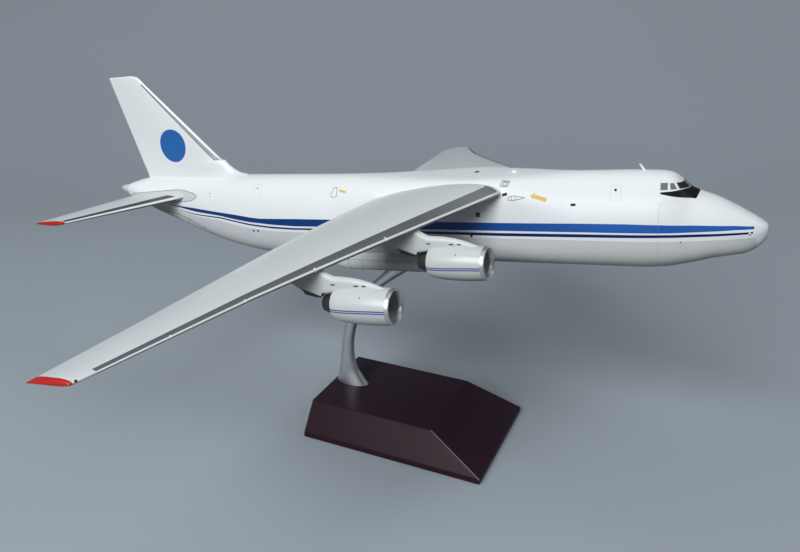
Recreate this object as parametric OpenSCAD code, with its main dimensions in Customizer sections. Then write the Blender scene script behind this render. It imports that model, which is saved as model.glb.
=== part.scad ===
// Desk display model of a heavy four-engined high-wing freighter on a wooden stand.
// Units are millimetres. X points to the nose, Y to the left wing tip, Z up.
// The origin is the centre of the stand's underside.

/* [Stand] */
// length of the base block, front to back
base_l = 99.4; // [96:0.2:104]
// width of the base block
base_w = 72.2; // [68:0.2:78]
// height of the base block above the table
base_h = 18.2; // [16.5:0.1:20]
// height of the upright edge round the foot of the base block
lip_h = 3.4; // [2.4:0.1:4.5]
// length of the long front slope, seen from above
front_slope = 29.4; // [24:0.2:32]
// width of each side slope, seen from above
side_slope = 9.1; // [6:0.1:12]
// height of the keel above the table at the stand socket
keel_height = 100.9; // [96:0.1:106]
// nose-up angle at which the model is shown
pitch = 7; // [5:0.1:9]
// radius of the round prong at the top of the arm
prong_r = 2.5; // [2:0.1:2.8]
// length of the prong inside its socket
prong_len = 11; // [9:0.1:12]

/* [Body shell] */
// length of the body shell, nose tip to the tail cone joint
body_len = 339.6; // [334:0.2:345]
// greatest width of the body shell
body_w = 36.4; // [35.6:0.1:37.2]
// height of the body shell ahead of the wing
body_h = 41; // [40:0.1:42]
// wall thickness of the two body halves
wall = 2; // [1.6:0.1:2.4]

/* [Flying surfaces] */
// wing span, tip to tip
wing_span = 366.5; // [356:0.5:376]
// height of the fin tip above the keel line
fin_top = 98.4; // [92:0.2:104]
// tailplane span, tip to tip
tail_span = 130; // [122:0.5:138]

/* [Engines] */
// outer radius of the intake ring
ring_r = 6.95; // [6.85:0.05:7.1]
// radius of the fan, hub to blade tip
fan_r = 5.2; // [4.8:0.05:5.2]
// thickness of the pylons
pylon_w = 3.6; // [3:0.1:4.2]
// radius of the fan axles
axle_r = 0.8; // [0.6:0.05:1]

/* [Hidden] */
$fn = 96;
// radial running clearance of a turning axle or of the prong in its socket
run_fit = 0.05;
// clearance between pieces that are glued or pressed together
glue_fit = 0.03;
// air gap between the aircraft and the arm that carries it
lift_gap = 0.3;
// distance from the nose tip to the stand socket on the drawing that the stations come from
socket_s = 160;
// place of the stand socket along the base
socket_x = -1.4;
// points on one half section of the body
half_n = 20;
// exponent of the flatter lower body section
keel_exp = 2.8;

// body stations: distance aft of the nose, half width, crown, keel, height of greatest width,
// exponent of the upper section, which squares up over the wing roots
body_rows = [
  [0, 1.6, 17, 13.9, 15.5, 2],
  [0.9, 3.2, 18.2, 12.1, 15.4, 2],
  [2.4, 5.1, 19.4, 10.2, 15.2, 2],
  [4.8, 7, 21, 8.1, 15, 2],
  [8.5, 9.2, 23.3, 6.3, 14.8, 2],
  [13.5, 11.3, 26.2, 5.5, 14.6, 2],
  [19.5, 13.3, 29.3, 4.75, 14.5, 2],
  [26, 15, 31.8, 3.15, 14.5, 2],
  [29.4, 15.7, 33.4, 2.35, 14.6, 2],
  [32.2, 16.3, 35.9, 1.75, 14.7, 2],
  [34.4, 16.7, 38, 1.3, 14.8, 2],
  [36.8, 17.1, 39.6, 0.85, 14.9, 2],
  [41, 17.6, 40.5, 0.4, 15, 2],
  [47, 18, 40.8, 0.05, 15, 2],
  [56, 18.2, 41, 0, 15, 2],
  [76, 18.2, 41, 0, 15, 2],
  [88, 18.2, 41, 0, 15, 2.6],
  [97, 18.2, 41, 0, 15, 3.5],
  [105, 18.2, 41, 0, 15, 4.3],
  [113, 18.2, 41, 0, 15, 5.6],
  [123, 18.2, 41, 0, 15, 7.4],
  [133, 18.2, 41, 0, 15, 6.4],
  [145, 18.2, 41, 0, 15, 4.7],
  [158, 18.2, 41, 0, 15, 3.4],
  [175, 18.2, 41.1, 0, 15, 2.5],
  [196, 18.2, 41.35, 0, 15, 2],
  [226, 18.1, 41.7, 0.2, 15.6, 2],
  [240, 17.7, 41.9, 1.2, 16.6, 2],
  [254, 16.7, 42.1, 3.2, 18.6, 2],
  [268, 15.2, 42.2, 6.2, 21.2, 2],
  [285, 12.8, 42.3, 11.2, 24.8, 2],
  [302, 10, 42.3, 17, 28.4, 2],
  [318, 7.3, 41.8, 22.4, 31.6, 2],
  [326, 5.9, 40.8, 25.7, 33.1, 2],
  [331, 5, 39.9, 27.8, 33.9, 2],
  [336, 4.1, 38.9, 29.9, 34.5, 2],
  [339.6, 3.4, 38, 31.3, 34.7, 2]
];
// rows where the hollow of the body starts and ends, and the row that stands for its plain middle
hollow_from = 13;
hollow_to = 30;
plain_row = 15;
// scale from the stations above to the sizes asked for
drawn_len = body_rows[len(body_rows) - 1][0];
drawn_w = 2 * body_rows[plain_row][1];
drawn_h = body_rows[plain_row][2];
k_len = body_len / drawn_len;
k_w = body_w / drawn_w;
k_h = body_h / drawn_h;

// nose visor joint: station of its rear edge, and height of its upper edge at the rear and front
visor_s = 41;
visor_z_rear = 30;
visor_z_front = 31.2;
visor_s_front = 26;
visor_peg_r = 3;
visor_peg_z = 14;
visor_peg_len = 9;

// wing stations: distance from the centreline, leading edge station, chord
wing_rows = [
  [20, 107.1, 63],
  [51, 125.6, 55],
  [76, 140.2, 47.3],
  [99, 153.2, 39.4],
  [123, 166.2, 31.9],
  [145, 176.4, 26.8],
  [180.5, 192.8, 19.5],
  [183.25, 194.8, 18.3]
];
root_y = wing_rows[0][0];
root_z = 35.9;
drawn_half_span = wing_rows[len(wing_rows) - 1][0];
// fall of the leading edge per unit of span
wing_fall = 0.1103;
wing_angle = 3;
wing_thick = 0.12;
wing_camber = 0.015;
// half thickness of the blunt trailing edges
edge_half = 0.25;
// inner end of the wing roots inside the body
stub_y = 3;
// points on one side of a wing section
sec_n = 10;
joiner_s = 128;
joiner_l = 16;
joiner_h = 2.6;
joiner_y = 15;
joiner_z = 35.4;

// tailplane: root, tip, height above the keel line
tail_rows = [
  [1.5, 290.4, 42],
  [9, 290.4, 42],
  [62.5, 325.6, 19],
  [65, 327.8, 17.2]
];
tail_z = 32.4;
drawn_tail_span = 2 * tail_rows[len(tail_rows) - 1][0];
tail_thick = 0.1;

// fin: height above the keel line, leading edge station, chord
fin_rows = [
  [38.6, 259.5, 64],
  [42.4, 259.5, 64],
  [42.5, 255, 68.4],
  [43, 258.6, 64.9],
  [43.6, 260.9, 62.6],
  [45.2, 263.8, 60.2],
  [50, 269.1, 56],
  [93.5, 312.9, 22.7],
  [96.4, 315.6, 20.6],
  [97.8, 318, 18.6],
  [98.4, 320.8, 15.9]
];
fin_base = fin_rows[1][0];
drawn_fin_top = fin_rows[len(fin_rows) - 1][0];
fin_thick = 0.095;

// engines: distance from the centreline, station of the intake, height of the axis
eng_rows = [
  [56, 100.65, 16.6],
  [95.5, 124.1, 12.5]
];
ring_l = 1.75;
cowl_l = 25.5;
duct_r = 5.6;
fan_at = 7;
fan_chord = 1.8;
blade_n = 16;
fan_blade_t = 0.4;
blade_angle = 38;
hub_r = 1.6;
core_r = 2.6;
core_from = 10;
core_to = 22;
axle_len = 8;
plug_l = 6;
strut_at = 12;
strut_l = 5;
strut_t = 0.8;
nozzle_from = 17.5;
nozzle_to = 30.1;

// main gear fairings: stations along the body and how full the fairing is at each
fair_rows = [
  [126, 0.04],
  [129, 0.4],
  [134, 0.8],
  [141, 1],
  [160, 1],
  [187, 1],
  [195, 0.8],
  [203, 0.4],
  [208, 0.04]
];
// section points of the fairing's outer face, from its upper edge round to its inner lower edge
fair_face = [
  [17, 4.9],
  [19.2, 3],
  [19.8, 0.2],
  [19, -2.2],
  [16.4, -3.2],
  [11.4, -2.6]
];
// first point of the body section that the fairing covers
fair_from = 14;

// arm path in the plane of symmetry: x, z, half width across the path, half thickness
arm_rows = [
  [-38.5, 18.2, 9.5, 4.6],
  [-39.6, 21, 7.8, 4.1],
  [-40.8, 26, 5.7, 3.4],
  [-41.1, 33, 4.2, 3],
  [-40.8, 41, 3.5, 2.7],
  [-39.7, 49, 3.3, 2.6],
  [-37.8, 56, 3.2, 2.6],
  [-34.6, 63.5, 3.1, 2.6],
  [-29.6, 71.5, 2.9, 2.5],
  [-22.8, 79.8, 2.6, 2.5],
  [-14.6, 87.6, 3.2, 2.7],
  [-6.8, 94.6, 4.1, 3.2]
];
drawn_base_h = arm_rows[0][1];
drawn_keel_height = 100.9;
arm_top_half = 4.6;
arm_top_thick = 3.9;
arm_n = 20;
screw_x = [-43.4, -37.4];
screw_r = 1.25;
screw_head_r = 2.3;
screw_head_h = 2;
screw_top = 26;
head_seat = 12;
felt_t = 1;
felt_out = 0.4;
felt_gap = 4.5;
rear_slope = 0.6;

// socket block inside the belly
socket_r = 5;
socket_top = 14;

// dowels that line up the two body halves: station, height
dowel_at = [[78, 15], [212, 15], [262, 30]];
dowel_r = 1.2;
dowel_half = 5;
boss_r = 2.6;
// how far the dowel bosses run into the wall
boss_sink = 1;

tail_peg_r = 1.2;
tail_peg_l = 5;
// tail cone: distance aft of its joint, radius, rise of its middle
cone_rows = [
  [0, 3.1, 0],
  [2.4, 2.5, 0.4],
  [5.2, 1.55, 0.95],
  [6.6, 0.9, 1.2],
  [7.1, 0.4, 1.3]
];
cone_z = 34.7;

blade_s = 47.1;
blade_l = 1.3;
blade_top = 0.85;
blade_sweep = 2.7;
blade_h = 3.4;
blade_t = 0.8;
blade_sink = 0.8;
dome_s = 105.2;
dome_r = 1.5;
dome_peg_r = 0.6;
dome_sink = 1.4;

// place in the aircraft's own frame, which tilts about the stand socket
function x_at(s) = (socket_s - s) * k_len;
function z_at(z) = z * k_h;
function span_at(y) =
  y <= root_y
  ? y
  : root_y + (y - root_y) * (wing_span / 2 - root_y) / (drawn_half_span - root_y);

module craft() {
  translate([socket_x, 0, keel_height]) rotate([0, -pitch, 0]) children();
}

module right_side() {
  mirror([0, 1, 0]) children();
}

// faces of a quad strip between two rows of points, seen clockwise from outside
function quad(a, b, c, d) = [[a, c, b], [a, d, c]];
function quad_in(a, b, c, d) = [[a, b, c], [a, c, d]];

// solid through closed rings that run clockwise when seen along the way they are listed
module loft(rings) {
  n = len(rings[0]);
  m = len(rings);
  sides = [
    for (i = [0:m - 2], j = [0:n - 1])
      let (k = (j + 1) % n)
      each quad(i * n + j, i * n + k, (i + 1) * n + k, (i + 1) * n + j)
  ];
  first = [for (j = [0:n - 1]) j];
  last = [for (j = [n - 1:-1:0]) (m - 1) * n + j];
  polyhedron([for (r = rings) each r], concat(sides, [first, last]));
}

// point on a half section of the body, the angle running from the crown to the keel
function section_pt(a, w, top, low, mid, n) =
  a >= 0
  ? [w * pow(cos(a), 2 / n), mid + (top - mid) * pow(sin(a), 2 / n)]
  : [w * pow(cos(a), 2 / keel_exp), mid - (mid - low) * pow(sin(-a), 2 / keel_exp)];

function half_ring(row, t) = [
  for (j = [0:half_n])
    let (p = section_pt(90 - 180 * j / half_n, k_w * row[1] - t, z_at(row[2]) - t,
      z_at(row[3]) + t, z_at(row[4]), row[5]))
    [x_at(row[0]), p[0], p[1]]
];

function full_ring(row) =
  let (h = half_ring(row, 0))
  concat(h, [for (j = [half_n - 1:-1:1]) [h[j][0], -h[j][1], h[j][2]]]);

// left half of the hollow body, flat on the plane of symmetry
module body_half() {
  m = len(body_rows);
  w = half_n + 1;
  e = half_n;
  outer = [for (r = body_rows) each half_ring(r, 0)];
  inner = [for (i = [hollow_from:hollow_to]) each half_ring(body_rows[i], wall)];
  base = m * w;
  skin = [
    for (i = [0:m - 2], j = [0:e - 1])
      each quad(i * w + j, i * w + j + 1, (i + 1) * w + j + 1, (i + 1) * w + j)
  ];
  lining = [
    for (i = [0:hollow_to - hollow_from - 1], j = [0:e - 1])
      let (a = base + i * w + j)
      each quad_in(a, a + 1, a + w + 1, a + w)
  ];
  ends = [
    [for (j = [0:e]) j],
    [for (j = [e:-1:0]) (m - 1) * w + j],
    [for (j = [e:-1:0]) base + j],
    [for (j = [0:e]) base + (hollow_to - hollow_from) * w + j]
  ];
  plain = [
    for (i = [0:m - 2])
      if (i < hollow_from - 1 || i > hollow_to)
        [i * w, i * w + e, (i + 1) * w + e, (i + 1) * w]
  ];
  f = hollow_from;
  t = hollow_to;
  r = base + (t - f) * w;
  closing = [
    [(f - 1) * w, (f - 1) * w + e, f * w + e, base + e, base, f * w],
    [(t + 1) * w, t * w, r, r + e, t * w + e, (t + 1) * w + e]
  ];
  rims = [
    for (i = [f:t - 1])
      let (o = i * w, q = base + (i - f) * w)
      each [[o, q, q + w, o + w], [q + e, o + e, o + w + e, q + w + e]]
  ];
  polyhedron(concat(outer, inner), concat(skin, lining, ends, plain, closing, rims));
}

// side view of the visor joint, grown by a gap
module visor_block(gap) {
  rotate([90, 0, 0])
    linear_extrude(height = 60, center = true)
      polygon([
        [x_at(-5), z_at(-5)],
        [x_at(visor_s) - gap, z_at(-5)],
        [x_at(visor_s) - gap, z_at(visor_z_rear) + gap],
        [x_at(visor_s_front) - gap, z_at(visor_z_front) + gap],
        [x_at(visor_s_front) - gap, z_at(38)],
        [x_at(-5), z_at(38)]
      ]);
}

module visor_peg(r, extra) {
  translate([x_at(visor_s) + 2, 0, z_at(visor_peg_z)])
    rotate([0, -90, 0])
      cylinder(r = r, h = visor_peg_len + extra);
}

// wing section: half thickness and camber line as shares of the chord
function thick_at(u, t) =
  5 * t * (0.2969 * sqrt(u) - 0.126 * u - 0.3516 * u * u + 0.2843 * pow(u, 3) - 0.1036 * pow(u, 4));
function section_u(i) = (1 - cos(180 * i / sec_n)) / 2;

// wing section ring in its own plane: aft distance and height from the leading edge, grown by g
function wing_ring(c, t, m, angle, g) = [
  for (i = [-sec_n:sec_n])
    let (
      up = i <= 0,
      u = section_u(abs(i)),
      half = thick_at(u, t) * c + edge_half * u + g,
      a = u * (c + 2 * g) - g,
      h = 4 * m * u * (1 - u) * c + (i == 0 ? 0 : up ? half : -half)
    )
    [a * cos(angle) + h * sin(angle), h * cos(angle) - a * sin(angle)]
];

function wing_z(y) = root_z - wing_fall * (max(y, root_y) - root_y);

function wing_station(row, y, g) = [
  for (p = wing_ring(row[2], wing_thick, wing_camber, wing_angle, g))
    [x_at(row[1] + p[0]), span_at(y), z_at(wing_z(y) + p[1])]
];

// left wing, its root running on unchanged into the body
module wing_solid() {
  loft(concat(
    [wing_station(wing_rows[0], stub_y, 0)],
    [for (r = wing_rows) wing_station(r, r[0], 0)]
  ));
}

module wing_pocket() {
  loft([wing_station(wing_rows[0], stub_y - 1, glue_fit), wing_station(wing_rows[0], root_y, glue_fit)]);
}

module joiner_bar(g) {
  translate([x_at(joiner_s), 0, z_at(joiner_z)])
    cube([joiner_l + 2 * g, 2 * joiner_y + 2 * g, joiner_h + 2 * g], center = true);
}

module wing() {
  difference() {
    wing_solid();
    joiner_bar(glue_fit);
  }
}

function tail_y(y) = y * tail_span / drawn_tail_span;

function tail_station(row, y, g) = [
  for (p = wing_ring(row[2], tail_thick, 0, 0, g))
    [x_at(row[1] + p[0]), y, z_at(tail_z + p[1])]
];

module tailplane() {
  loft([for (r = tail_rows) tail_station(r, r[0] < 10 ? r[0] : tail_y(r[0]), 0)]);
}

module tail_pocket() {
  r = tail_rows[0];
  loft([tail_station(r, r[0] - 0.5, glue_fit), tail_station(r, 20, glue_fit)]);
}

function fin_z(z) =
  z <= fin_base
  ? z_at(z)
  : z_at(fin_base) + (z - fin_base) * (fin_top - fin_base) / (drawn_fin_top - fin_base);

function fin_station(row, z, g) =
  let (
    r = wing_ring(row[2], fin_thick, 0, 0, g),
    n = len(r)
  )
  [for (k = [0:n - 1]) let (p = r[(k + sec_n) % n]) [x_at(row[1] + p[0]), -p[1], z]];

module fin_solid() {
  loft([for (r = fin_rows) fin_station(r, fin_z(r[0]), 0)]);
}

module fin_pocket() {
  loft([
    fin_station(fin_rows[0], fin_z(fin_rows[0][0]) - glue_fit, glue_fit),
    fin_station(fin_rows[0], fin_z(fin_base) + 6, glue_fit)
  ]);
}

module socket_hole(r) {
  translate([0, 0, -6]) cylinder(r = r, h = 12);
}

module dowels(r, half) {
  for (d = dowel_at)
    translate([x_at(d[0]), 0, z_at(d[1])]) rotate([90, 0, 0]) cylinder(r = r, h = 2 * half, center = true);
}

// half width of the body at a station and height
function row_mix(s, i) = lookup(s, [for (r = body_rows) [r[0], r[i]]]);
function half_width(s, z) =
  let (
    w = k_w * row_mix(s, 1), top = row_mix(s, 2), low = row_mix(s, 3), mid = row_mix(s, 4), n = row_mix(s, 5)
  )
  z >= mid
  ? w * pow(1 - pow((z - mid) / (top - mid), n), 1 / n)
  : w * pow(1 - pow((mid - z) / (mid - low), keel_exp), 1 / keel_exp);

module dowel_bosses() {
  for (d = dowel_at)
    translate([x_at(d[0]), 0, z_at(d[1])])
      rotate([-90, 0, 0])
        cylinder(r = boss_r, h = half_width(d[0], d[1]) - wall + boss_sink);
}

module tail_bore(r) {
  translate([x_at(drawn_len) - 1, 0, z_at(cone_z)]) rotate([0, 90, 0]) cylinder(r = r, h = tail_peg_l + 1);
}

module half_shell() {
  difference() {
    union() {
      body_half();
      dowel_bosses();
    }
    visor_block(glue_fit);
    visor_peg(visor_peg_r + glue_fit, 1);
    wing_pocket();
    tail_pocket();
    fin_pocket();
    socket_hole(socket_r + glue_fit);
    dowels(dowel_r + glue_fit, dowel_half + glue_fit);
    tail_bore(tail_peg_r + glue_fit);
    blade_solid(glue_fit);
    dome_peg(glue_fit);
  }
}

// slab between an inner and an outer grid of points, rows running aft and columns running down
module slab(a, b) {
  m = len(a);
  n = len(a[0]);
  o = m * n;
  skins = [
    for (i = [0:m - 2], j = [0:n - 2])
      let (p = i * n + j, q = p + n)
      each concat(quad(o + p, o + p + 1, o + q + 1, o + q), quad_in(p, p + 1, q + 1, q))
  ];
  ends = [
    for (j = [0:n - 2])
      let (p = j, q = (m - 1) * n + j)
      each concat(quad_in(o + p, o + p + 1, p + 1, p), quad(o + q, o + q + 1, q + 1, q))
  ];
  edges = [
    for (i = [0:m - 2])
      let (p = i * n, q = p + n - 1)
      each concat(quad_in(p, p + n, o + p + n, o + p), quad(q, q + n, o + q + n, o + q))
  ];
  polyhedron(concat([for (r = a) each r], [for (r = b) each r]), concat(skins, ends, edges));
}

module gear_fairing() {
  n = len(fair_face);
  row = body_rows[plain_row];
  inner = [
    for (f = fair_rows)
      let (h = half_ring([f[0], row[1], row[2], row[3], row[4], row[5]], 0))
      [for (j = [0:n - 1]) h[fair_from + j]]
  ];
  outer = [
    for (i = [0:len(fair_rows) - 1])
      let (k = fair_rows[i][1])
      [for (j = [0:n - 1])
        let (p = inner[i][j], q = [p[0], k_w * fair_face[j][0], z_at(fair_face[j][1])])
        p + k * (q - p)]
  ];
  slab(inner, outer);
}

module blade_solid(g) {
  translate([x_at(blade_s), 0, z_at(drawn_h) - blade_sink])
    rotate([90, 0, 0])
      linear_extrude(height = blade_t + 2 * g, center = true)
        polygon([
          [g, 0], [-blade_l - g, 0], [-blade_sweep - blade_top - g, blade_h], [-blade_sweep + g, blade_h]
        ]);
}

module dome_peg(g) {
  translate([x_at(dome_s), 0, z_at(drawn_h) - dome_sink - g]) cylinder(r = dome_peg_r + g, h = dome_sink + 1);
}

// engine frame: Z runs aft along the engine's axis from the intake
module at_engine(k) {
  e = eng_rows[k];
  translate([x_at(e[1]), span_at(e[0]), z_at(e[2])]) rotate([0, -90, 0]) children();
}

function cowl_outline(g) = [
  [ring_r + g, ring_l], [ring_r + 0.27 + g, 5.4], [ring_r + 0.46 + g, 10], [ring_r + 0.44 + g, 14.4],
  [7.18 + g, 18.6], [6.84 + g, 21.8], [6.36 + g, 24], [5.75 + g, 25.2], [5.35 + g, cowl_l]
];

module cowl_solid() {
  rotate_extrude()
    polygon(concat([[duct_r, ring_l]], cowl_outline(0), [[5.1, cowl_l], [5.25, 22], [duct_r, 17.5]]));
}

// the room that the cowl takes up, with its hollow filled
module cowl_room() {
  rotate_extrude()
    polygon(concat([[0, ring_l]], cowl_outline(glue_fit), [[0, cowl_l]]));
}

module ring_solid() {
  rotate_extrude()
    polygon([
      [duct_r, ring_l - glue_fit], [ring_r - 1.15, 0.9], [ring_r - 0.95, 0.45], [ring_r - 0.7, 0.14],
      [ring_r - 0.45, 0.03], [ring_r - 0.22, 0.2], [ring_r - 0.07, 0.7], [ring_r, ring_l - glue_fit]
    ]);
}

module fan_solid() {
  rotate_extrude()
    polygon([
      [0, fan_at - 3], [0.55, fan_at - 2.8], [1.1, fan_at - 1.9], [hub_r, fan_at],
      [hub_r, fan_at + fan_chord], [axle_r, fan_at + fan_chord],
      [axle_r, core_from + axle_len], [0, core_from + axle_len]
    ]);
  for (i = [0:blade_n - 1])
    rotate([0, 0, i * 360 / blade_n])
      translate([(hub_r - 0.4 + fan_r) / 2, 0, fan_at + fan_chord / 2])
        rotate([blade_angle, 0, 0])
          cube([fan_r - hub_r + 0.4, fan_blade_t, fan_chord], center = true);
}

module core_solid() {
  difference() {
    union() {
      translate([0, 0, core_from]) cylinder(r = core_r, h = core_to - core_from);
      translate([0, 0, core_to]) cylinder(r1 = core_r, r2 = 0.6, h = plug_l);
      intersection() {
        for (i = [0:3])
          rotate([0, 0, i * 90 + 45]) translate([0, -strut_t / 2, strut_at]) cube([8, strut_t, strut_l]);
        cylinder(r = duct_r - glue_fit, h = 30);
      }
    }
    translate([0, 0, core_from - 1]) cylinder(r = axle_r + run_fit, h = axle_len + 1.4);
  }
}

module nozzle_solid() {
  rotate_extrude()
    polygon([
      [core_r + glue_fit, nozzle_from], [3.3, nozzle_from], [4.1, nozzle_from + 2.5], [4.35, 23.5], [4.1, 26.6],
      [3.5, nozzle_to - 0.8], [3.2, nozzle_to], [2.95, nozzle_to], [3, 26], [2.95, core_to],
      [core_r + glue_fit, core_to - 1]
    ]);
}

module pylon_solid(k) {
  e = eng_rows[k];
  difference() {
    translate([x_at(e[1]), span_at(e[0]), z_at(e[2])])
      rotate([90, 0, 0])
        linear_extrude(height = pylon_w, center = true)
          polygon([
            [-3.6, 6], [-4.1, 6.9], [-9.7, 8.35], [-18.5, 9.95], [-25.2, 10.5], [-26.6, 11.3], [-28.7, 12.55],
            [-31.7, 15.1], [-52.6, 14], [-50.7, 11.5], [-39.5, 5.2], [-39, 3.75], [-33.2, 2.9], [-31, 2.95],
            [-30.6, 4.7], [-24.5, 5.2]
          ]);
    wing_solid();
    at_engine(k) cowl_room();
  }
}

// direction and point of one arm ring
function arm_dir(i) =
  let (
    a = arm_rows[max(i - 1, 0)],
    b = arm_rows[min(i + 1, len(arm_rows) - 1)],
    d = [b[0] - a[0], b[1] - a[1]]
  )
  d / norm(d);
function arm_scale(z) = (z - drawn_base_h) / (drawn_keel_height - drawn_base_h);
function arm_z(z) = base_h + arm_scale(z) * (keel_height - base_h);

function arm_ring(x, z, nx, nz, hw, ht) = [
  for (j = [0:arm_n - 1])
    let (t = 360 * j / arm_n)
    [x + nx * hw * cos(t), ht * sin(t), z + nz * hw * cos(t)]
];

module arm_blade() {
  rings = [
    for (i = [0:len(arm_rows) - 1])
      let (r = arm_rows[i], d = arm_dir(i), flat = i == 0)
      arm_ring(r[0], arm_z(r[1]), flat ? 1 : d[1], flat ? 0 : -d[0], r[2], r[3])
  ];
  top_x = socket_x + lift_gap * sin(pitch);
  top_z = keel_height - lift_gap * cos(pitch);
  loft(concat(rings, [arm_ring(top_x, top_z, cos(pitch), sin(pitch), arm_top_half, arm_top_thick)]));
}

module stand_base() {
  l = base_l / 2;
  w = base_w / 2;
  low = felt_out;
  color([0.24, 0.09, 0.13])
    difference() {
      polyhedron(
        [
          [-l, -w, low], [l, -w, low], [l, w, low], [-l, w, low],
          [-l, -w, lip_h], [l, -w, lip_h], [l, w, lip_h], [-l, w, lip_h],
          [-l + rear_slope, -w + side_slope, base_h], [l - front_slope, -w + side_slope, base_h],
          [l - front_slope, w - side_slope, base_h], [-l + rear_slope, w - side_slope, base_h]
        ],
        [
          [0, 1, 2, 3], [0, 4, 5, 1], [1, 5, 6, 2], [2, 6, 7, 3], [3, 7, 4, 0],
          [4, 8, 9, 5], [5, 9, 10, 6], [6, 10, 11, 7], [7, 11, 8, 4], [11, 10, 9, 8]
        ]
      );
      translate([-l + felt_gap - glue_fit, -w + felt_gap - glue_fit, -1])
        cube([base_l - 2 * felt_gap + 2 * glue_fit, base_w - 2 * felt_gap + 2 * glue_fit, felt_t + 1]);
      for (x = screw_x) {
        translate([x, 0, -1]) cylinder(r = screw_r + glue_fit, h = base_h + 2);
        translate([x, 0, -1]) cylinder(r = screw_head_r + 0.2, h = head_seat + 1);
      }
    }
}

module base_felt() {
  color([0.1, 0.1, 0.11])
    translate([-base_l / 2 + felt_gap, -base_w / 2 + felt_gap, 0])
      cube([base_l - 2 * felt_gap, base_w - 2 * felt_gap, felt_t]);
}

module stand_arm() {
  color([0.72, 0.73, 0.75])
    difference() {
      union() {
        arm_blade();
        craft() translate([0, 0, -2]) cylinder(r = prong_r, h = prong_len + 2);
      }
      for (x = screw_x)
        translate([x, 0, base_h - 1]) cylinder(r = screw_r + glue_fit, h = arm_z(screw_top) - base_h + 1.5);
    }
}

module arm_screws() {
  color([0.6, 0.6, 0.62])
    for (x = screw_x) {
      translate([x, 0, head_seat - screw_head_h]) cylinder(r = screw_head_r, h = screw_head_h);
      translate([x, 0, head_seat - 0.1]) cylinder(r = screw_r, h = arm_z(screw_top) - head_seat + 0.1);
    }
}

module fuselage_left() {
  color([0.93, 0.94, 0.95]) craft() half_shell();
}

module fuselage_right() {
  color([0.93, 0.94, 0.95]) craft() right_side() half_shell();
}

module fuselage_dowels() {
  color([0.7, 0.7, 0.72]) craft() dowels(dowel_r, dowel_half);
}

module stand_socket() {
  color([0.3, 0.3, 0.32])
    craft()
      difference() {
        translate([0, 0, z_at(0)]) cylinder(r = socket_r, h = socket_top);
        translate([0, 0, -1]) cylinder(r = prong_r + run_fit, h = prong_len + 1.5);
      }
}

module nose_visor() {
  color([0.93, 0.94, 0.95])
    craft()
      union() {
        intersection() {
          loft([for (r = body_rows) if (r[0] < 48) full_ring(r)]);
          visor_block(0);
        }
        visor_peg(visor_peg_r, 0);
      }
}

module tail_cone() {
  color([0.62, 0.63, 0.65])
    craft()
      translate([x_at(drawn_len), 0, z_at(cone_z)]) {
        loft([
          for (r = cone_rows)
            [for (j = [0:arm_n - 1])
              [-glue_fit - r[0], r[1] * sin(360 * j / arm_n), r[2] + r[1] * cos(360 * j / arm_n)]]
        ]);
        translate([-1, 0, 0]) rotate([0, 90, 0]) cylinder(r = tail_peg_r, h = tail_peg_l + 1);
      }
}

module wing_left() {
  color([0.75, 0.76, 0.77]) craft() wing();
}

module wing_right() {
  color([0.75, 0.76, 0.77]) craft() right_side() wing();
}

module wing_joiner() {
  color([0.7, 0.7, 0.72]) craft() joiner_bar(0);
}

module fin() {
  color([0.93, 0.94, 0.95]) craft() fin_solid();
}

module tailplane_left() {
  color([0.75, 0.76, 0.77]) craft() tailplane();
}

module tailplane_right() {
  color([0.75, 0.76, 0.77]) craft() right_side() tailplane();
}

module gear_fairing_left() {
  color([0.8, 0.81, 0.82]) craft() gear_fairing();
}

module gear_fairing_right() {
  color([0.8, 0.81, 0.82]) craft() right_side() gear_fairing();
}

module blade_antenna() {
  color([0.93, 0.94, 0.95]) craft() blade_solid(0);
}

module dome_antenna() {
  color([0.93, 0.94, 0.95])
    craft() {
      translate([x_at(dome_s), 0, z_at(drawn_h) + glue_fit])
        rotate_extrude()
          polygon([[0, 0], [dome_r, 0], [dome_r - 0.2, 0.5], [dome_r - 0.7, 0.9], [0, 1.1]]);
      dome_peg(0);
    }
}

module pylon(k) {
  color([0.85, 0.86, 0.86]) craft() pylon_solid(k);
}

module pylon_mirrored(k) {
  color([0.85, 0.86, 0.86]) craft() right_side() pylon_solid(k);
}

module engine_piece(k, left, shade) {
  color(shade) craft() if (left) at_engine(k) children(); else right_side() at_engine(k) children();
}

cowl_shade = [0.88, 0.88, 0.87];
ring_shade = [0.8, 0.81, 0.83];
fan_shade = [0.6, 0.62, 0.64];
core_shade = [0.4, 0.41, 0.43];
nozzle_shade = [0.22, 0.23, 0.24];

stand_base();
base_felt();
stand_arm();
arm_screws();
fuselage_left();
fuselage_right();
fuselage_dowels();
stand_socket();
nose_visor();
tail_cone();
wing_left();
wing_right();
wing_joiner();
fin();
tailplane_left();
tailplane_right();
gear_fairing_left();
gear_fairing_right();
blade_antenna();
dome_antenna();
pylon(1);  // pylon_1
pylon(0);  // pylon_2
pylon_mirrored(0);  // pylon_3
pylon_mirrored(1);  // pylon_4
engine_piece(1, true, cowl_shade) cowl_solid();  // cowl_1
engine_piece(0, true, cowl_shade) cowl_solid();  // cowl_2
engine_piece(0, false, cowl_shade) cowl_solid();  // cowl_3
engine_piece(1, false, cowl_shade) cowl_solid();  // cowl_4
engine_piece(1, true, ring_shade) ring_solid();  // intake_ring_1
engine_piece(0, true, ring_shade) ring_solid();  // intake_ring_2
engine_piece(0, false, ring_shade) ring_solid();  // intake_ring_3
engine_piece(1, false, ring_shade) ring_solid();  // intake_ring_4
engine_piece(1, true, fan_shade) fan_solid();  // fan_1
engine_piece(0, true, fan_shade) fan_solid();  // fan_2
engine_piece(0, false, fan_shade) fan_solid();  // fan_3
engine_piece(1, false, fan_shade) fan_solid();  // fan_4
engine_piece(1, true, core_shade) core_solid();  // engine_core_1
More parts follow.
